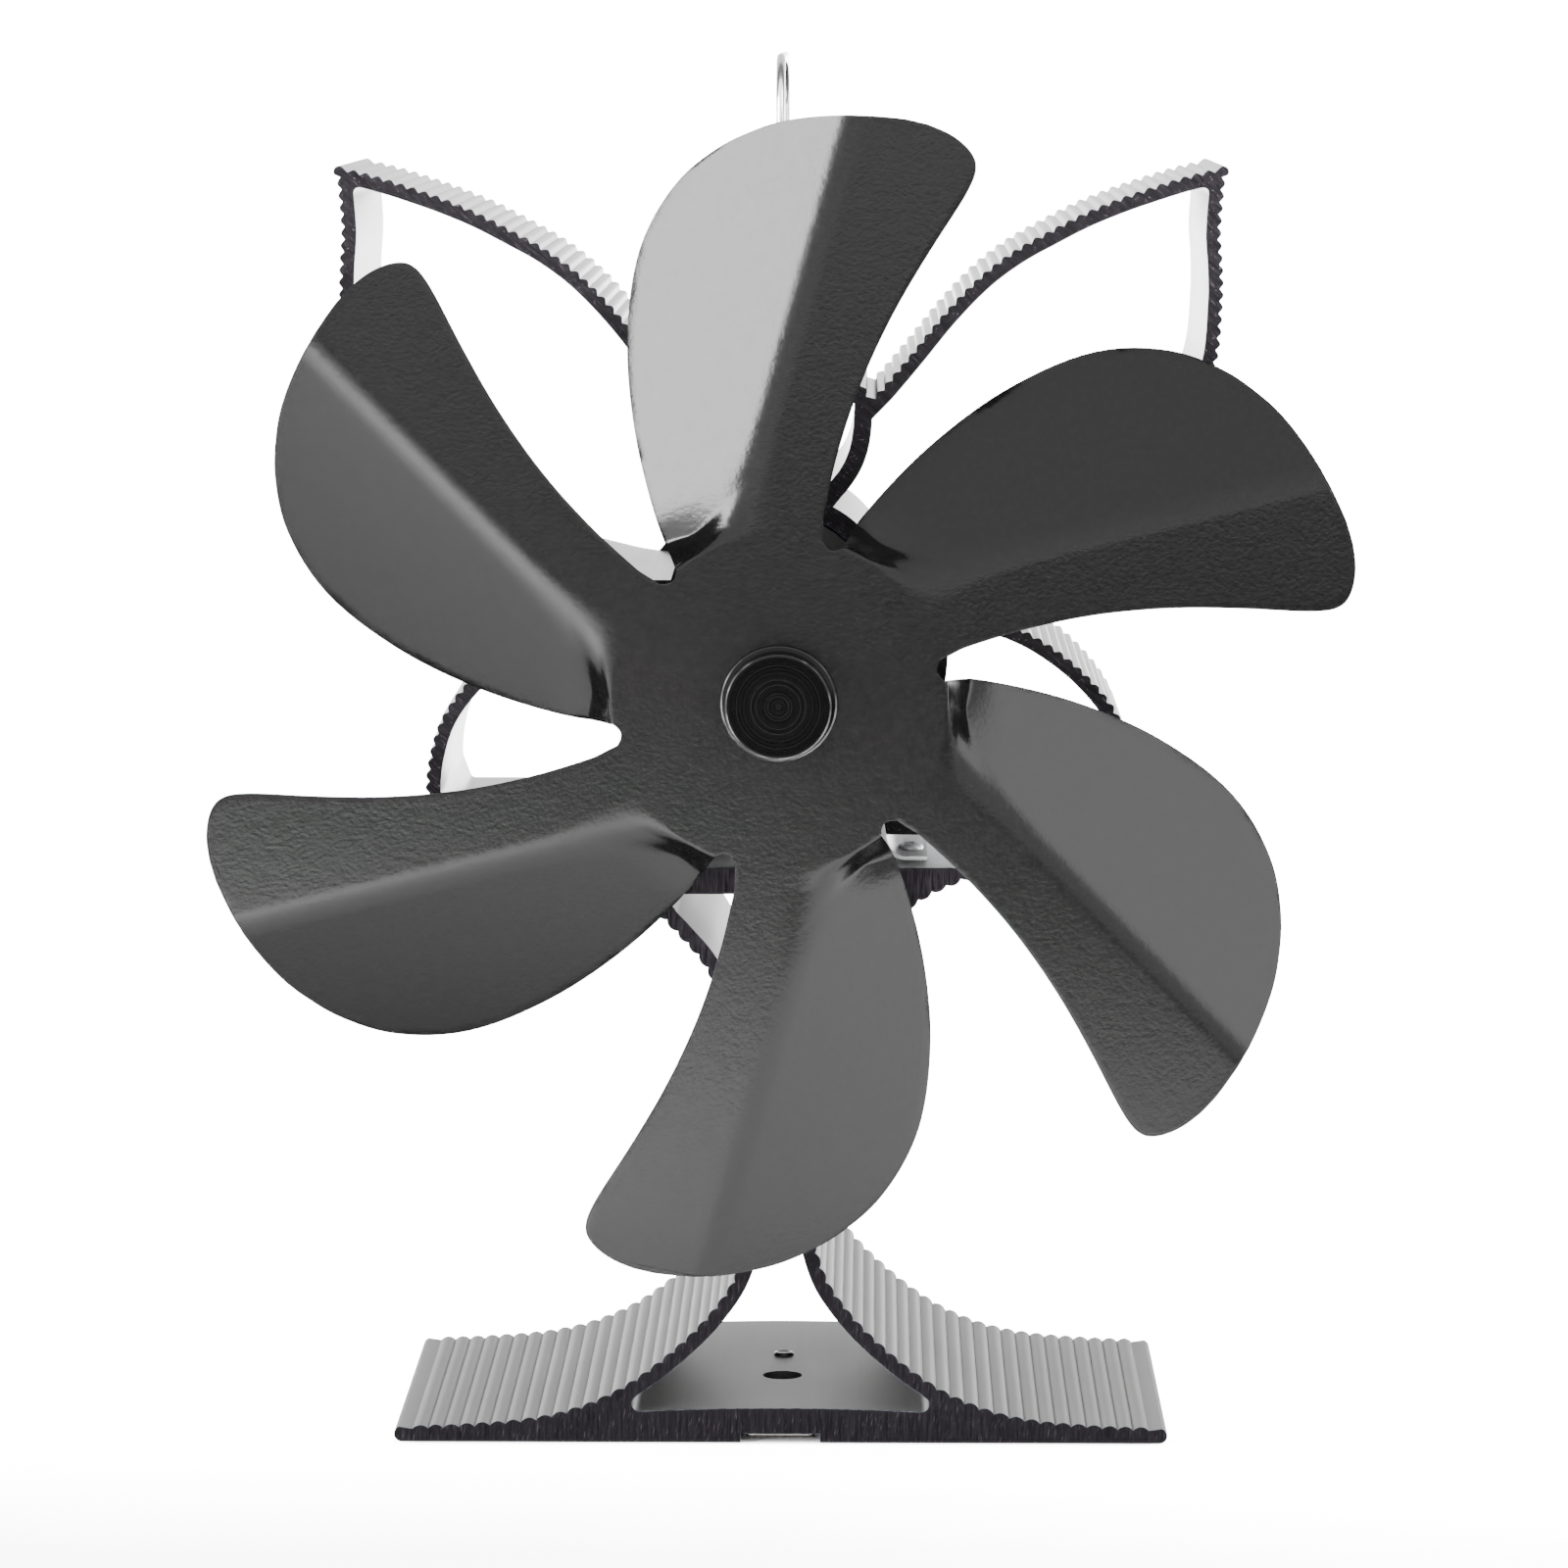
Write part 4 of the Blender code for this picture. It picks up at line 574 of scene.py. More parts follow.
def spun(profile, centre, steps, axis=(0, 1, 0)):
    """The profile, as radius and place along the axis, turned full circle round the axis."""
    mesh = bmesh.new()
    line = [mesh.verts.new((radius, 0, along)) for radius, along in profile]
    edges = [mesh.edges.new((a, b)) for a, b in zip(line, line[1:])]
    bmesh.ops.spin(
        mesh, geom=line + edges, cent=(0, 0, 0), axis=(0, 0, 1), angle=math.tau, steps=steps,
        use_merge=True,
    )
    bmesh.ops.remove_doubles(mesh, verts=mesh.verts, dist=0.000001)
    bmesh.ops.transform(mesh, matrix=standing(centre, axis), verts=mesh.verts)
    bmesh.ops.recalc_face_normals(mesh, faces=mesh.faces)
    return mesh


def rounded(corner, radius, start, end, steps=5):
    """Profile points round a corner: centre of the rounding, its radius and angles in degrees."""
    return [(p.x, p.y) for p in round_corner(corner, radius, start, end, steps)]


def rounded_rim(radius, low, high, edge):
    """Profile points of a disc's rim, up from its lower face, with both edges rounded."""
    lower = rounded((radius - edge, low + edge), edge, -90, 0, 3)
    return lower + rounded((radius - edge, high - edge), edge, 0, 90, 3)


def block(size, centre):
    mesh = bmesh.new()
    bmesh.ops.create_cube(mesh, size=1.0)
    bmesh.ops.scale(mesh, verts=mesh.verts, vec=size)
    bmesh.ops.translate(mesh, verts=mesh.verts, vec=centre)
    return mesh


strip_low, strip_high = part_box("bimetal_strip")
mesh = block(strip_high - strip_low, (strip_low + strip_high) / 2)
corners = [e for e in mesh.edges if abs(e.verts[0].co.z - e.verts[1].co.z) > 0.0001]
bmesh.ops.bevel(
    mesh, geom=corners, offset=0.0012, offset_type="OFFSET", segments=4, profile=0.5,
    affect="EDGES", material=-1,
)
seam, turned_end, turned_rise = strip_high.z - 0.00016, 0.0035, 0.0002
cuts = [((0, 0, seam), (0, 0, 1))]
cuts += [((0, strip_low.y + turned_end * n / 7, 0), (0, 1, 0)) for n in range(1, 8)]
for place, facing in cuts:
    bmesh.ops.bisect_plane(
        mesh, geom=mesh.verts[:] + mesh.edges[:] + mesh.faces[:], plane_co=place, plane_no=facing
    )
mesh.normal_update()
# Painted shade: all but a thin band along the top of the sides is painted black.
for face in mesh.faces:
    highlight_band = abs(face.normal.z) < 0.9 and face.calc_center_median().z > seam
    face.material_index = 0 if highlight_band else 1
for vert in mesh.verts:
    vert.co.z += turned_rise * max(0.0, 1 - (vert.co.y - strip_low.y) / turned_end) ** 2
painted_groove_shade = Finish("bimetal_strip_painted_shade", 0.05, Metallic=0.2, Roughness=0.6)
painted_groove_shade.mottled(1500, 0.002, (0.012, 0.010, 0.009))
strip = set_in_place(
    "rolled_strip", mesh,
    (brushed("bimetal_strip_rolled", (0.62, 0.60, 0.55), turn=(0, 0, 90)), painted_groove_shade),
    "bimetal_strip", body="safety_strip",
)
drilled(strip, [((0, rivet_y, 0), (0, rivet_y, 0.002), small_hole)])
plated_steel = brushed("screw_steel_plated", (0.70, 0.70, 0.71), 0.40, scale=(900, 900, 900))
blued_steel = Finish("screw_steel_blued", Metallic=0.6, Roughness=0.35)
blued_steel.mottled(1100, (0.010, 0.010, 0.014), (0.035, 0.032, 0.042), detail=3.0)
head, shank, reach = 0.0024, 0.0012, 0.0061
profile = [(0, 0.0001), (head - 0.0002, 0.0001), (head, 0.0002), (head, 0.0004), (shank, 0.0004)]
profile += [(shank, reach - 0.0003), *rounded((0.0013, reach - 0.0002), 0.0004, -60, 90)]
profile += [(0.0008, reach), (0, reach)]
set_in_place(
    "closed_rivet", spun(profile, (0, rivet_y, 0), 32, (0, 0, 1)), (blued_steel,),
    "strip_rivet",
)


# Module stack
# Two graphite sheets and two white ceramic plates with rows of dark semiconductor legs between them,
# sealed round the edge with white silicone. The clamped plates carry the heat.
def grained(name, colour, rough, scale, depth, spread=0.18, **fixed):
    """A plain matt body with its own grain: colour, gloss and a fine relief vary together."""
    body = Finish(name, **fixed)
    grain = body.noise(body.stretched(scale), detail=4.0, rough=0.6)
    cloud = body.noise(body.stretched(scale / 14), detail=2.0)
    dark = tuple((1 - spread) * c for c in colour)
    light = tuple(min(1.0, (1 + spread) * c) for c in colour)
    body.set("Base Color", body.mix(0.5 * grain + 0.5 * cloud, dark, light))
    body.set("Roughness", rough - 0.08 + 0.16 * grain)
    body.set("Normal", body.relief(grain, depth, 0.6))
    return body


graphite = grained("graphite_sheet_flaky", (0.10, 0.10, 0.11), 0.45, 2200, 0.00001, Metallic=0.4)
ceramic = grained("alumina_ceramic_white", (0.82, 0.82, 0.80), 0.40, 3000, 0.000004, 0.04)
dress(graphite, "lower_thermal_pad", "upper_thermal_pad")
dress(ceramic, "hot_side_ceramic", "cold_side_ceramic")
legs = grained("bismuth_telluride_cast", (0.20, 0.20, 0.22), 0.4, 2600, 0.000008, Metallic=0.7)
dress(legs, "thermocouple_legs")
dress(grained("silicone_seal_white", (0.80, 0.80, 0.78), 0.55, 900, 0.00003, 0.05), "module_seal")


# Upper extrusion
# The heat sink that sheds the heat: one drawn aluminium shape with two wings, a centre petal, an
# arched cell for the motor and two lower petals, fluted outside, sawn and anodised black.
span, height, bottom = sink_high.x, sink_high.z - sink_low.z, sink_low.z
petal, wing_top, wing_side, lower_petal = (
    smooth_line(shares(table, span, height, bottom), 12)
    for table in (
        ((0.032, 0.870), (0.074, 0.814), (0.125, 0.754), (0.169, 0.697), (0.199, 0.661)),
        (
            (0.207, 0.658), (0.233, 0.677), (0.291, 0.723), (0.367, 0.785), (0.445, 0.838),
            (0.521, 0.876), (0.599, 0.905), (0.675, 0.931), (0.751, 0.952), (0.828, 0.970),
            (0.905, 0.986), (0.966, 0.996),
        ),
        (
            (0.993, 0.983), (0.990, 0.961), (0.984, 0.901), (0.989, 0.847), (0.989, 0.794),
            (0.977, 0.709), (0.929, 0.617), (0.833, 0.528), (0.691, 0.450), (0.524, 0.398),
            (0.375, 0.370), (0.302, 0.361),
        ),
        (
            (0.300, 0.346), (0.403, 0.338), (0.532, 0.314), (0.635, 0.274), (0.715, 0.225),
            (0.767, 0.176), (0.795, 0.119), (0.803, 0.063), (0.786, 0.025),
        ),
    )
)
sink_wall, cell_half, cell_wall, arm_wall = 0.0025, 0.0153, 0.0032, 0.0030
nub, petal_toe, boss_radius, foot_thick = 0.0009, 0.0034, 0.0026, 0.0040
arm_steps, end_gap, corner_drop = 20, 0.0009, 0.0007
flute_pitch, flute_depth, arm_angle, arm_lean = 0.00202, 0.00062, 19, math.radians(49)
axis_z, arch_z = bottom + 0.0242, bottom + 0.0374
pivot_z = bottom + 0.870 * height
tip = round_corner((span - nub, bottom + height - nub), nub, 125, -35, 8)
toe_centre = (lower_petal[-1].x - petal_toe, bottom + petal_toe)
petal_end = round_corner(toe_centre, petal_toe, -20, -90, 8)
boss_round = round_corner((0, pivot_z), boss_radius, 80, 20, 8)
rows = [
    fluted(line, flute_pitch, flute_depth, 8, 1.3)
    for line in (petal[4:], wing_top, wing_side, lower_petal)
]
sink_outline = both_sides([*boss_round, *rows[0], *rows[1], *tip, *rows[2], *rows[3], *petal_end])

cell = [Vector((cell_half, bottom + foot_thick))]
cell += round_corner((0, arch_z), cell_half, 0, 90, 24)[:-1]
shoulder_radius = cell_half + cell_wall
arm_start = round_corner((0, arch_z), cell_half + cell_wall / 2, 90 - arm_angle, 90, 1)[0]
arm_end = petal[-1] - Vector((arm_wall / 3, arm_wall / 2))
arm_reach = 0.45 * (arm_end - arm_start).length
first = arm_start + arm_reach * Vector((math.sin(arm_lean), math.cos(arm_lean)))
last = arm_end - Vector((0, arm_reach))
arms = []
for step in range(arm_steps + 1):
    t = step / arm_steps
    ends = (1 - t) ** 3 * arm_start + t**3 * arm_end
    arms.append(ends + 3 * t * (1 - t) * ((1 - t) * first + t * last))
arm_right, arm_left = beside(arms, arm_wall / 2), beside(arms, -arm_wall / 2)
clear = (arm_right[2] - Vector((0, arch_z))).length
wing_under = [p for p in beside(wing_side, sink_wall) if p.x > shoulder_radius]
first_angle = math.degrees(math.asin((wing_under[-1].y - arch_z) / shoulder_radius))
last_angle = 90 - 1.45 * arm_angle
shoulder = max(shoulder_radius, clear * 0.99)
shoulder = round_corner((0, arch_z), shoulder, first_angle, last_angle, 12)
roof = beside(wing_top, sink_wall)
roof = [p for p in roof[8:] if p.x < wing_under[9].x - end_gap]
wing_under = [p for p in wing_under if p.y < roof[-1].y - corner_drop]
turn_point = Vector((wing_under[0].x, roof[-1].y + 0.0001))
turn_in = [
    roof[-1].lerp(turn_point, t).lerp(turn_point.lerp(wing_under[0], t), t) for t in (0.25, 0.5, 0.75)
]
wing_cavity = [*shoulder, *arm_right[4:-2], *roof, *turn_in, *wing_under]
apex = [p for p in beside(petal, sink_wall) if p.x > 0.0003]
arch_top = round_corner((0, arch_z), shoulder_radius, 90, 90 - 0.6 * arm_angle, 6)
centre_cavity = both_sides([*arch_top[1:], *arm_left[4:], *apex[-11::-1]])
under = beside(lower_petal, sink_wall)
inner_toe = round_corner(toe_centre, petal_toe - sink_wall, -20, -90, 4)
corner = Vector((shoulder_radius, bottom + sink_wall))
lower_cavity = [corner, Vector((shoulder_radius, under[1].y)), *under[1:-1], *inner_toe]
pivot_hole = round_corner((0, pivot_z), 0.00105, 0, 345, 23)
sink_loops = [
    sink_outline, both_sides(cell), wing_cavity, flipped(wing_cavity), centre_cavity,
    lower_cavity, flipped(lower_cavity), pivot_hole,
]
sink_front, sink_depth = sink_low.y, sink_high.y - sink_low.y
sink = set_in_place(
    "upper_extrusion",
    milled_flat(sawn_length(sink_loops, sink_front, sink_depth, saw_edge), bottom, -1),
    (
        anodised_drawn("black_anodised_sink_drawn", 0.40, 0.62, 0.32),
        anodised_sawn("black_anodised_sink_sawn", 0.04, 52, 0.80, 1.0, 0.0),
        anodised_rim("black_anodised_sink_painted_rim_highlight"),
        milled_bare,
    ),
    "upper_heat_sink", 44,
)
drilled(sink, [((0, y, bottom - overrun), (0, y, bottom + 0.006), clamp_hole) for y in clamp_ys])


# Clamp brackets and their screws
# Two bent strips of bright sheet stand beside the module, each held to the top plate by two small
# pan-head screws with a cross recess.
def thread(shank, core, start, length, way):
    """Profile points of a thread's turns, from its start up or down the axis."""
    pitch, found = 0.0005, []
    for turn in range(int(length / pitch) - 1):
        found.append((shank, start + way * pitch * (turn + 0.6)))
        found.append((core, start + way * pitch * (turn + 1)))
    return found


def pan_screw(node, seat, axis, radius, height, shank, length):
    """A pan-head screw: a domed head over its seat, rings for the thread, and a cross recess."""
    profile = [(0, height)]
    for step in range(1, 10):
        turn = math.radians(10 * step)
        profile.append((radius * math.sin(turn), height * (0.25 + 0.75 * math.cos(turn) ** 0.8)))
    profile += [(radius, 0.0001), (0.96 * radius, 0), (shank, 0)]
    profile += [*thread(shank, 0.86 * shank, 0, length, -1), (0.5 * shank, -length), (0, -length)]
    piece = set_in_place(
        f"{node}_pan", spun(profile, seat, 32, axis), (plated_steel,), node, 35
    )
    for lean in (25, 115):
        driver = block((1.15 * radius, 0.24 * radius, height), (0, 0, 0.95 * height))
        turn = Matrix.Rotation(math.radians(lean), 3, "Z")
        bmesh.ops.rotate(driver, verts=driver.verts, matrix=turn)
        bmesh.ops.transform(driver, verts=driver.verts, matrix=standing(seat, axis))
        carve(piece, driver)


sheet, gap, crop = 0.0007, 0.0003, (0.01, 0.07, 0.01)
bracket_low, bracket_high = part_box("clamp_bracket_right")
level = bracket_low.z + 0.0004 + sheet / 2
middle_line = smooth_line(
    (
        (bracket_high.x, level), (0.0215, level), (0.0199, level + 0.00005),
        (0.0184, level + 0.0007), (0.0174, level + 0.0021), (0.0169, level + 0.0038),
        (0.0165, bracket_high.z),
    ),
    6,
)
section = [*beside(middle_line, sheet / 2), *reversed(beside(middle_line, -sheet / 2))]
bent_sheet = brushed("bracket_sheet_bright", (0.40, 0.40, 0.40), 0.36, turn=(0, 0, 90))
for side, sign in (("left", -1), ("right", 1)):
    loop = [Vector((sign * p.x, p.y)) for p in section]
    mesh = sawn_length([loop], bracket_low.y, bracket_high.y - bracket_low.y, 0.00006)
    bracket = set_in_place(
        f"bent_bracket_{side}", mesh, (bent_sheet, bent_sheet, bent_sheet),
        f"clamp_bracket_{side}", 35,
    )
    centre = (sign * 0.0155, sink_front - gap + crop[1] / 2, bottom - gap + crop[2] / 2)
    carve(bracket, block(crop, centre))
    x = sign * bracket_x
    drilled(
        bracket, [((x, y, level - 0.002), (x, y, level + 0.002), small_hole) for y in bracket_ys]
    )
    for end, y in zip(("front", "rear"), bracket_ys):
        seat = (x, y, level + sheet / 2)
        node = f"bracket_screw_{side}_{end}"
        pan_screw(node, seat, (0, 0, 1), 0.0021, 0.00118, 0.0012, 0.0038)


# Clamping screws and washers
# Two steel screws pull the upper extrusion down on the module from inside the base's upper cavity,
# each through a spring washer and a heat-stopping laminate washer.
spring = brushed("spring_steel_hardened", (0.42, 0.42, 0.43), 0.32)
laminate = grained("glass_laminate_pressed", (0.75, 0.70, 0.55), 0.6, 1400, 0.00002)
socket, head, head_height, shank, core = 0.0012, 0.0027, 0.0024, 0.0015, 0.0013
bore, edge = 0.0018, 0.0002
for end in ("front", "rear"):
    low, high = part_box(f"clamp_screw_{end}")
    place = (0, (low.y + high.y) / 2, low.z)
    profile = [(0, socket), (socket, socket), (socket, 0)]
    profile += [*rounded((head - 0.0003, 0.0003), 0.0003, -90, 0), (head, head_height)]
    length = high.z - low.z - head_height
    profile += [(shank, head_height), *thread(shank, core, head_height, length, 1)]
    profile += [(core, head_height + length), (0, head_height + length)]
    set_in_place(
        f"socket_screw_{end}", spun(profile, place, 36, (0, 0, 1)), (plated_steel,),
        f"clamp_screw_{end}",
    )
    for kind, finish, slot in (
        ("spring_washer", spring, "spring_steel"), ("insulating_washer", laminate, "glass_laminate"),
    ):
        low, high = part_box(f"{kind}_{end}")
        rim, thick = (high.x - low.x) / 2, high.z - low.z
        profile = [(bore, 0.0001), (bore + 0.0001, 0), *rounded_rim(rim, 0, thick, edge)]
        profile += [(bore + 0.0001, thick), (bore, thick - 0.0001), (bore, 0.0001)]
        place = (0, (low.y + high.y) / 2, low.z)
        set_in_place(
            f"{kind}_turned_{end}", spun(profile, place, 40, (0, 0, 1)), (finish,),
            f"{kind}_{end}",
        )


# Motor holder and rear cover
# A black plastic sleeve fills the cell and carries the motor; behind it a glossy black moulded cover
# closes the cell with two screws.
holder_plastic = grained(
    "holder_plastic_moulded", (0.010, 0.010, 0.010), 0.5, 1500, 0.00002, sheen=0.2
)
dress(holder_plastic, "motor_holder")
cover_plastic = grained(
    "cover_plastic_gloss", (0.007, 0.007, 0.008), 0.26, 500, 0.000004, sheen=0.16
)
cover_low, cover_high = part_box("rear_cover")
cover_radius, cover_thick = cover_high.x, cover_high.y - cover_low.y
well, well_radius, inner_round, outer_round, ring_depth = 0.0027, 0.0250, 0.0006, 0.0016, 0.0003
profile = [(0, well), (well_radius - inner_round, well)]
profile += rounded((well_radius - inner_round, well - inner_round), inner_round, 90, 0)
profile += [(well_radius, 0.0001), (well_radius + 0.0001, 0)]
profile += [(cover_radius - 0.0002, 0), (cover_radius, 0.0002)]
profile += rounded((cover_radius - outer_round, cover_thick - outer_round), outer_round, 0, 80, 9)
profile += [(cover_radius - r, cover_thick - ring_depth) for r in (0.0030, 0.0036)]
profile += [(cover_radius - 0.0040, cover_thick), (0, cover_thick)]
cover = set_in_place(
    "moulded_cover", spun(profile, (0, cover_low.y, axis_z), 128), (cover_plastic,),
    "rear_cover", 30,
)
lead_notch = block((0.012, 2 * well, 0.006), (0, cover_low.y, axis_z - 0.0265))
carve(cover, lead_notch)
for node, z in (("cover_screw_lower", axis_z - 0.0165), ("cover_screw_upper", axis_z + 0.0165)):
    drilled(cover, [((0, cover_low.y - overrun, z), (0, cover_high.y + overrun, z), 0.0014)])
    seat = (0, cover_high.y + 0.0003, z)
    pan_screw(node, seat, (0, 1, 0), 0.0022, 0.0014, 0.0011, seat[1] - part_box(node)[0].y)


# Motor
# A small direct-current motor: plated steel can with two arc magnets, bronze bushes, a pale end cap
# with brass terminals and spring brushes, and the leads from the module.
can_steel = brushed("motor_steel_plated", (0.60, 0.60, 0.60), 0.25, scale=(300, 2600, 300))
bronze = grained("bearing_bronze_sintered", (0.55, 0.36, 0.16), 0.4, 3000, 0.00001, Metallic=1.0)
ferrite = grained("ferrite_magnet_ground", (0.12, 0.12, 0.13), 0.5, 2000, 0.00001)
brass = brushed("terminal_brass_pressed", (0.70, 0.52, 0.25), 0.3)
spring_bronze = brushed("brush_bronze_rolled", (0.60, 0.42, 0.20), 0.3)
can_low, can_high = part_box("motor_can")
can_radius, can_length = can_high.x, can_high.y - can_low.y
bore, can_inside, end_thick = 0.0033, 0.0114, 0.0010
profile = [(bore, 0), (0.0052, 0), (0.0056, 0.0003), (0.0098, 0.0003)]
profile += [*rounded((0.0110, 0.0012), 0.0012, -60, 0, 8), (can_radius, can_length)]
profile += [(can_inside, can_length), (can_inside, end_thick), (bore, end_thick), (bore, 0)]
set_in_place(
    "drawn_can", spun(profile, (0, can_low.y, axis_z), 96), (can_steel,),
    "motor_can", 30,
)
bush_low, bush_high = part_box("front_bearing")
bore, rim, edge, length = 0.0013, 0.0030, 0.0003, bush_high.y - bush_low.y
profile = [(bore + 0.0001, 0), *rounded((rim - edge, edge), edge, -90, 0, 4)]
profile += [(rim, length - edge), (rim - edge, length), (bore + 0.0001, length)]
profile += [(bore, length - 0.0001), (bore, 0.0001), (bore + 0.0001, 0)]
set_in_place(
    "front_bush", spun(profile, (0, bush_low.y, axis_z), 48), (bronze,),
    "front_bearing", 30,
)
dress(bronze, "rear_bearing")
dress(grained("end_cap_plastic_pale", (0.75, 0.74, 0.70), 0.5, 900, 0.00001, 0.05), "motor_end_cap")
dress(ferrite, "motor_magnet_left", "motor_magnet_right")
dress(brass, "motor_terminal_left", "motor_terminal_right")
dress(spring_bronze, "motor_brush_left", "motor_brush_right")
for colour, tone in (("red", (0.55, 0.02, 0.02)), ("black", (0.02, 0.02, 0.02))):
    silicone = grained(f"{colour}_lead_silicone", tone, 0.45, 1200, 0.00001, 0.1)
    dress(silicone, f"lead_wire_{colour}")


# Armature
# The turning part of the motor: ground shaft, stacked steel core, three coils of enamelled copper and
# a turned copper commutator.
for node, name, colour, rough, lines in (
    ("motor_shaft", "shaft_steel_ground", (0.62, 0.62, 0.62), 0.2, (2600, 60, 2600)),
    ("armature_core", "laminated_core_stack", (0.32, 0.33, 0.35), 0.4, (60, 4000, 60)),
    ("armature_windings", "enamelled_copper_wound", (0.55, 0.24, 0.10), 0.3, (60, 4000, 60)),
    ("commutator", "commutator_copper_turned", (0.72, 0.42, 0.25), 0.25, (40, 2600, 2600)),
):
    dress(brushed(name, colour, rough, scale=lines), node)


# Fan sheet
# One disc of thin steel, slit into six blades, each folded back along a soft crease, then painted
# satin black. The paint has a fine leathery texture. Its rounded edges, where they face to the
# front or back, carry a painted highlight of bright metal, broken by noise.
sheet_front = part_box("fan_blades")[0].y
sheet_thick, fan_radius, notch_depth = 0.0006, 0.0951, 0.0010
fold_offset, fold_lean, fold_soft, fold_slope = 0.01406, 14.2, 0.0025, math.tan(math.radians(27))
root_step, root_reach, least_round, root_round = 0.0012, 0.012, 0.0003, 0.004
soft_zone, crease_zone, round_zone, dip_zone = 0.02, 0.007, 0.005, 0.0095
# Blade edges: share of the fan radius, angle of the leading edge, angle of the folded edge
blade_edges = smooth_line(
    (
        (0.2815, 15.0, 67.5), (0.2860, 15.2, 67.4), (0.2910, 15.4, 67.2), (0.2970, 15.6, 67.0),
        (0.3120, 16.2, 66.5), (0.3355, 16.7, 65.6), (0.4200, 16.8, 62.0), (0.5320, 15.9, 57.7),
        (0.6600, 14.0, 52.9), (0.7900, 11.7, 47.4), (0.8800, 10.2, 41.6), (0.9300, 9.7, 36.5),
        (0.9560, 9.9, 32.6), (0.9720, 10.6, 29.4), (0.9850, 11.9, 25.0), (0.9940, 13.6, 20.6),
        (0.9985, 15.6, 17.8),
    ),
    6,
)
root_radius = blade_edges[0].x * fan_radius


def fading(distance, zone):
    """From 1 at the start of a zone to 0 at its end and beyond."""
    return max(0.0, 1 - distance / zone)


def fold_back(radius, angle):
    """How far back the sheet is pressed there, with the angle from the blade's own zero."""
    outward = radius - root_radius
    beyond = radius * math.sin(math.radians(angle - fold_lean)) - fold_offset
    soft = fold_soft * (1 + 1.6 * fading(outward, soft_zone) ** 2)
    if beyond < -soft:
        return 0.0
    if beyond < soft:
        beyond = (beyond + soft) ** 2 / (4 * soft)
    reach = root_step + 0.30 * beyond + root_reach * fading(beyond, crease_zone) ** 2
    share = min(1.0, max(0.0, outward / reach))
    rounding = least_round + root_round * fading(beyond, round_zone)
    rise = (1 - (1 - share) ** 1.35) * min(1.0, max(0.0, outward / rounding))
    return beyond * fold_slope * rise * (1 + 0.5 * fading(outward, dip_zone) ** 2)


def across(radius, leading, folded, share):
    """The angle at a share of the way across the blade, with a third of the shares in the fold."""
    def crossing(offset):
        return fold_lean + math.degrees(math.asin(min(1.0, offset / radius)))

    before = max(crossing(fold_offset - fold_soft), leading + (folded - leading) / 6)
    after = min(crossing(fold_offset + fold_soft), folded - (folded - leading) / 6)
    if before > after:
        before, after = leading + (folded - leading) / 3, folded - (folded - leading) / 3
    stops = (leading, before, after, folded)
    part = min(2, int(share * 3))
    return stops[part] + (stops[part + 1] - stops[part]) * (share * 3 - part)


blade_columns, gap_columns, hub_rows, hub_hole = 42, 8, 10, 0.0035
mesh = bmesh.new()
grid = bmesh.ops.create_grid(
    mesh, x_segments=len(blade_edges) - 1, y_segments=blade_columns, size=0.5
)["verts"]
for vert in grid:
    row = blade_edges[round((vert.co.x + 0.5) * (len(blade_edges) - 1))]
    radius = row.x * fan_radius
    angle = across(radius, row.y, row.z, round((vert.co.y + 0.5) * blade_columns) / blade_columns)
    turn = math.radians(angle)
    vert.co = (
        radius * math.cos(turn),
        sheet_front + sheet_thick / 2 + fold_back(radius, angle),
        axis_z + radius * math.sin(turn),
    )
leading, folded = blade_edges[0].y, blade_edges[0].z
gap_angle = 60 - (folded - leading)
hub_columns = blade_columns + gap_columns
hub = bmesh.ops.create_grid(mesh, x_segments=hub_rows, y_segments=hub_columns, size=0.5)["verts"]
for vert in hub:
    row = round((vert.co.x + 0.5) * hub_rows) / hub_rows
    column = round((vert.co.y + 0.5) * hub_columns)
    rim = root_radius
    if column <= blade_columns:
        angle = across(root_radius, leading, folded, column / blade_columns)
    else:
        share = (column - blade_columns) / gap_columns
        angle = folded + gap_angle * share
        rim -= notch_depth * math.sin(math.pi * share)
    radius = hub_hole + (rim - hub_hole) * (1 - (1 - row) ** 2)
    turn = math.radians(angle)
    vert.co = (
        radius * math.cos(turn), sheet_front + sheet_thick / 2, axis_z + radius * math.sin(turn)
    )
bmesh.ops.remove_doubles(mesh, verts=mesh.verts, dist=0.00002)
sector = mesh.verts[:] + mesh.edges[:] + mesh.faces[:]
for number in range(1, 6):
    copy = bmesh.ops.duplicate(mesh, geom=sector)["geom"]
    bmesh.ops.rotate(
        mesh, verts=[v for v in copy if isinstance(v, bmesh.types.BMVert)],
        cent=(0, 0, axis_z), matrix=Matrix.Rotation(math.radians(60 * number), 3, "Y"),
    )
bmesh.ops.remove_doubles(mesh, verts=mesh.verts, dist=0.00002)
bmesh.ops.recalc_face_normals(mesh, faces=mesh.faces)
if sum(f.normal.y for f in mesh.faces) > 0:
    bmesh.ops.reverse_faces(mesh, faces=mesh.faces)
satin = Finish("satin_black_sheet_paint", 0.115)
leather = satin.mottled(1400, 0.0002, 0.0022, detail=3.0, rough=0.6)
swell = satin.noise(satin.stretched(480))
satin.set("Roughness", 0.12 + 0.06 * swell + 0.08 * leather)
satin.set("Normal", satin.relief(leather + 0.6 * swell, 0.00005, 0.7))
cut_edge = Finish("satin_black_cut_edge", 0.02, Roughness=0.6)
cut_edge.mottled(1500, 0.0005, 0.0030)
fan_painted_glint = Finish("satin_black_painted_edge_highlight", Metallic=1.0)
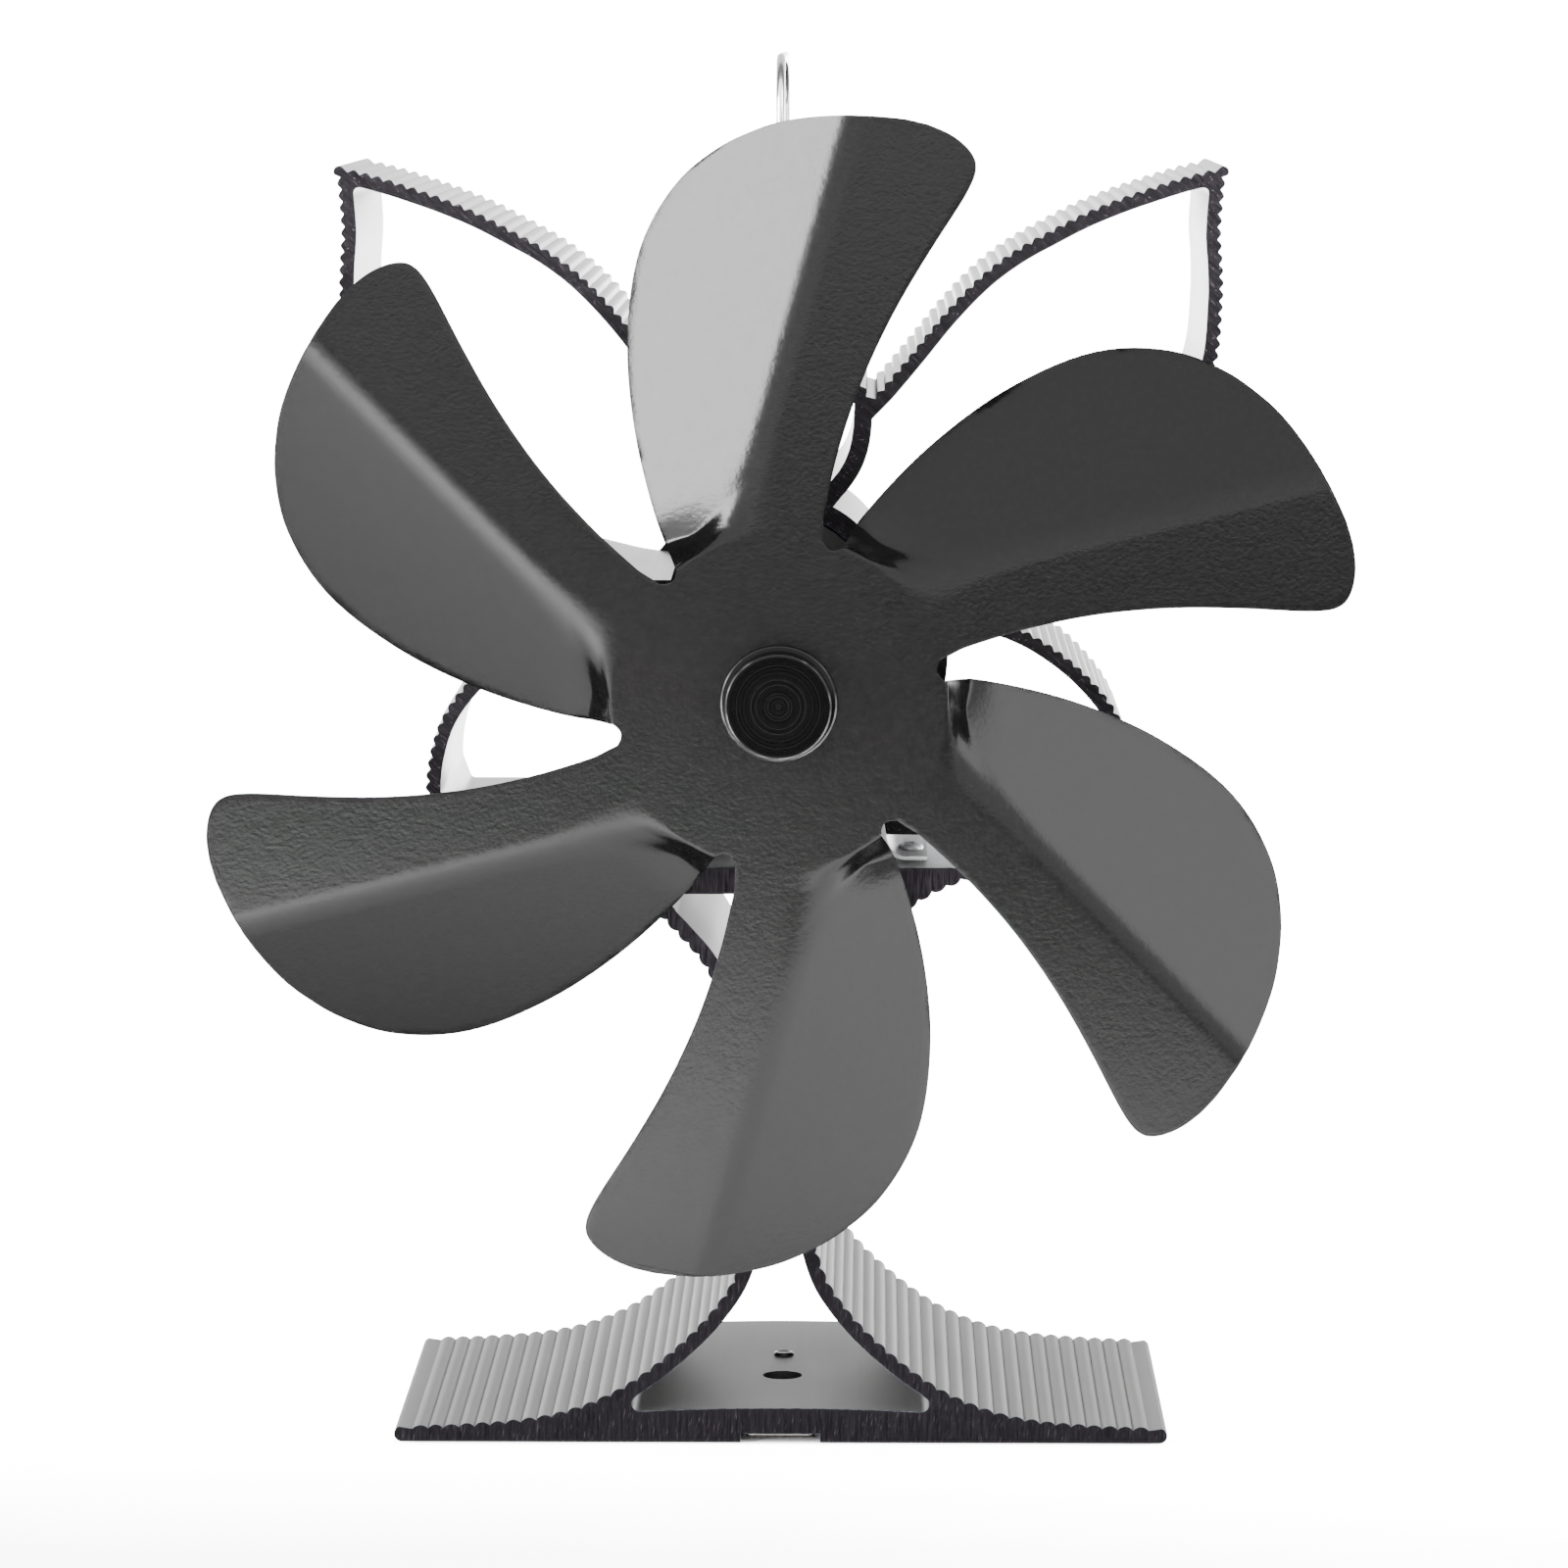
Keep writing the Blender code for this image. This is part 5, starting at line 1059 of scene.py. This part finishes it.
# Painted highlight: edge faces turned to the front or back are bright metal, in patches.
facing = fan_painted_glint.along("Y", fan_painted_glint.node("ShaderNodeNewGeometry", "Normal"))
fan_glint_noise = fan_painted_glint.noise(fan_painted_glint.stretched(420))
fan_glint_mask = fan_painted_glint.ramp(fan_painted_glint.sum("ABSOLUTE", facing), 0.5, 0.8)
fan_glint_mask = fan_glint_mask * fan_painted_glint.ramp(fan_glint_noise, 0.3, 0.6, 0.35, 1.0)
fan_painted_glint.set("Base Color", fan_painted_glint.mix(fan_glint_mask, 0.001, 0.30))
fan_painted_glint.set("Roughness", 0.30 + 0.10 * fan_glint_noise)
fan = set_in_place(
    "fan_sheet", mesh, (satin, cut_edge, fan_painted_glint), "fan_blades", 60, "rotor"
)
thickness = fan.modifiers.new("sheet", "SOLIDIFY")
thickness.thickness, thickness.offset, thickness.material_offset_rim = sheet_thick, 0, 1
soft_edge = fan.modifiers.new("paint_edge", "BEVEL")
soft_edge.width, soft_edge.segments, soft_edge.limit_method = 0.00027, 4, "ANGLE"
soft_edge.angle_limit, soft_edge.material = math.radians(60), 2
boss_alloy = brushed("boss_alloy_turned", (0.60, 0.60, 0.60), 0.25, scale=(60, 3000, 60))
boss_low, boss_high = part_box("fan_boss")
back_face, length = sheet_front + sheet_thick + 0.0003, boss_high.y - boss_low.y
flange = back_face - boss_low.y
bore, spigot, flange_radius, barrel, edge = 0.0013, 0.0032, 0.0080, 0.0046, 0.0003
flange_back, end_round = flange + 0.0012, 0.0004
profile = [(bore, 0), (spigot - 0.0002, 0), (spigot, 0.0002), (spigot, flange)]
profile += [(flange_radius - edge, flange), *rounded_rim(flange_radius, flange, flange_back, edge)]
profile += [(barrel + 0.0004, flange_back), (barrel, flange_back + 0.0004)]
profile += rounded((barrel - end_round, length - end_round), end_round, 0, 90, 4)
profile += [(bore, length), (bore, 0)]
boss = set_in_place(
    "turned_boss", spun(profile, (0, boss_low.y, axis_z), 64), (boss_alloy,),
    "fan_boss", 30, "rotor",
)
screw_y = (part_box("boss_set_screw")[0].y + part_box("boss_set_screw")[1].y) / 2
drilled(boss, [((0, screw_y, axis_z + 0.0005), (0, screw_y, axis_z + 0.006), small_hole)])
dress(plated_steel, "boss_set_screw")


# Hub cap
# A small turned black cap pressed on the boss through the sheet. Fine rings from the lathe run round
# its face, and a groove parts it from its flange. Its rounded front edge and flange edge carry a
# painted highlight of brighter metal, broken by noise.
cap_rim, cap_radius, cap_front, edge = 0.0085, 0.00935, -0.0063, 0.0003
profile = [(0, cap_front)]
for radius in (0.0014, 0.0025, 0.0037, 0.0042, 0.0052, 0.0058, 0.0064, 0.0069, 0.0073, 0.0077):
    profile += [
        (radius - 0.00009, cap_front), (radius - 0.00003, cap_front + 0.00006),
        (radius + 0.00003, cap_front + 0.00006), (radius + 0.00009, cap_front),
    ]
profile += rounded((cap_rim - edge, cap_front + edge), edge, -90, 0, 6)
profile += [(cap_rim, -0.00165), (cap_rim - 0.0002, -0.0014)]
profile += rounded((cap_radius - edge, -0.0010), edge, -90, 0, 4)
profile += [(cap_radius, -0.0003), (hub_hole, -0.0003), (hub_hole, -0.0035), (0, -0.0035)]
turned_black = Finish("cap_black_turned", 0.07)
where = turned_black.stretched((1, 0, 1), centre=(0, 0, axis_z))
distance = turned_black.node("ShaderNodeVectorMath", "Value", {"operation": "LENGTH"}, {0: where})
rings = turned_black.noise(
    turned_black.node("ShaderNodeCombineXYZ", 0, {}, {0: distance * 5200}), detail=1.0
)
fine_line = turned_black.ramp(rings, 0.60, 0.72)
turned_black.set("Base Color", turned_black.mix(fine_line, 0.0004, (0.0080, 0.0080, 0.0084)))
turned_black.set("Roughness", 0.10 + 0.10 * rings)
turned_black.set("Normal", turned_black.relief(rings, 0.000008, 0.5))
# Painted highlight: the rounded front and flange edges are brighter metal, in patches.
cap_painted_glint = Finish("cap_black_painted_edge_highlight", Metallic=0.7, Roughness=0.3)
cap_glint_noise = cap_painted_glint.ramp(cap_painted_glint.noise(cap_painted_glint.stretched(260), detail=3.0), 0.46, 0.62)
cap_painted_glint.set("Base Color", cap_painted_glint.mix(cap_glint_noise, 0.001, 0.035))
mesh = spun(profile, (0, sheet_front, axis_z), 96)
for face in mesh.faces:
    place = face.calc_center_median() - Vector((0, sheet_front, axis_z))
    reach = math.hypot(place.x, place.z)
    front_edge = cap_rim - edge < reach < cap_rim and place.y < cap_front + edge
    flange_edge = reach > cap_radius - edge and place.y < -0.0009
    face.material_index = 1 if front_edge or flange_edge else 0
set_in_place("turned_cap", mesh, (turned_black, cap_painted_glint), "hub_cap", 30, "rotor")


# Handle
# A bail of bright steel wire over the top. Its two ends are bent inwards into the hole through the
# tip of the upper extrusion, and it tilts there.
wire_radius, rise, bend, foot_bend, stand_off = 0.00075, 0.0316, 0.0084, 0.0014, 0.0012
front, back = -stand_off - wire_radius, sink_depth + stand_off + wire_radius
route = [Vector((0.005, 0))]
route += round_corner((front + foot_bend, foot_bend), foot_bend, -90, -180, 10)
route += round_corner((front + bend, rise - bend), bend, 180, 90, 24)
route += round_corner((back - bend, rise - bend), bend, 90, 0, 24)
route += round_corner((back - foot_bend, foot_bend), foot_bend, 0, -90, 10)
route.append(Vector((sink_depth - 0.005, 0)))
line = bpy.data.curves.new("wire_bail", "CURVE")
line.dimensions, line.use_fill_caps = "3D", True
line.bevel_depth, line.bevel_resolution = wire_radius, 6
spline = line.splines.new("POLY")
spline.points.add(len(route) - 1)
for point, place in zip(spline.points, route):
    point.co = (0, sink_front + place.x, pivot_z + place.y, 1)
bright_wire = brushed("handle_wire_polished", (0.66, 0.66, 0.66), 0.16, scale=(3000, 200, 200))
line.materials.append(bright_wire.material)
handle = placed("wire_bail", line)
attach(handle, "handle_wire")
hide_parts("handle")
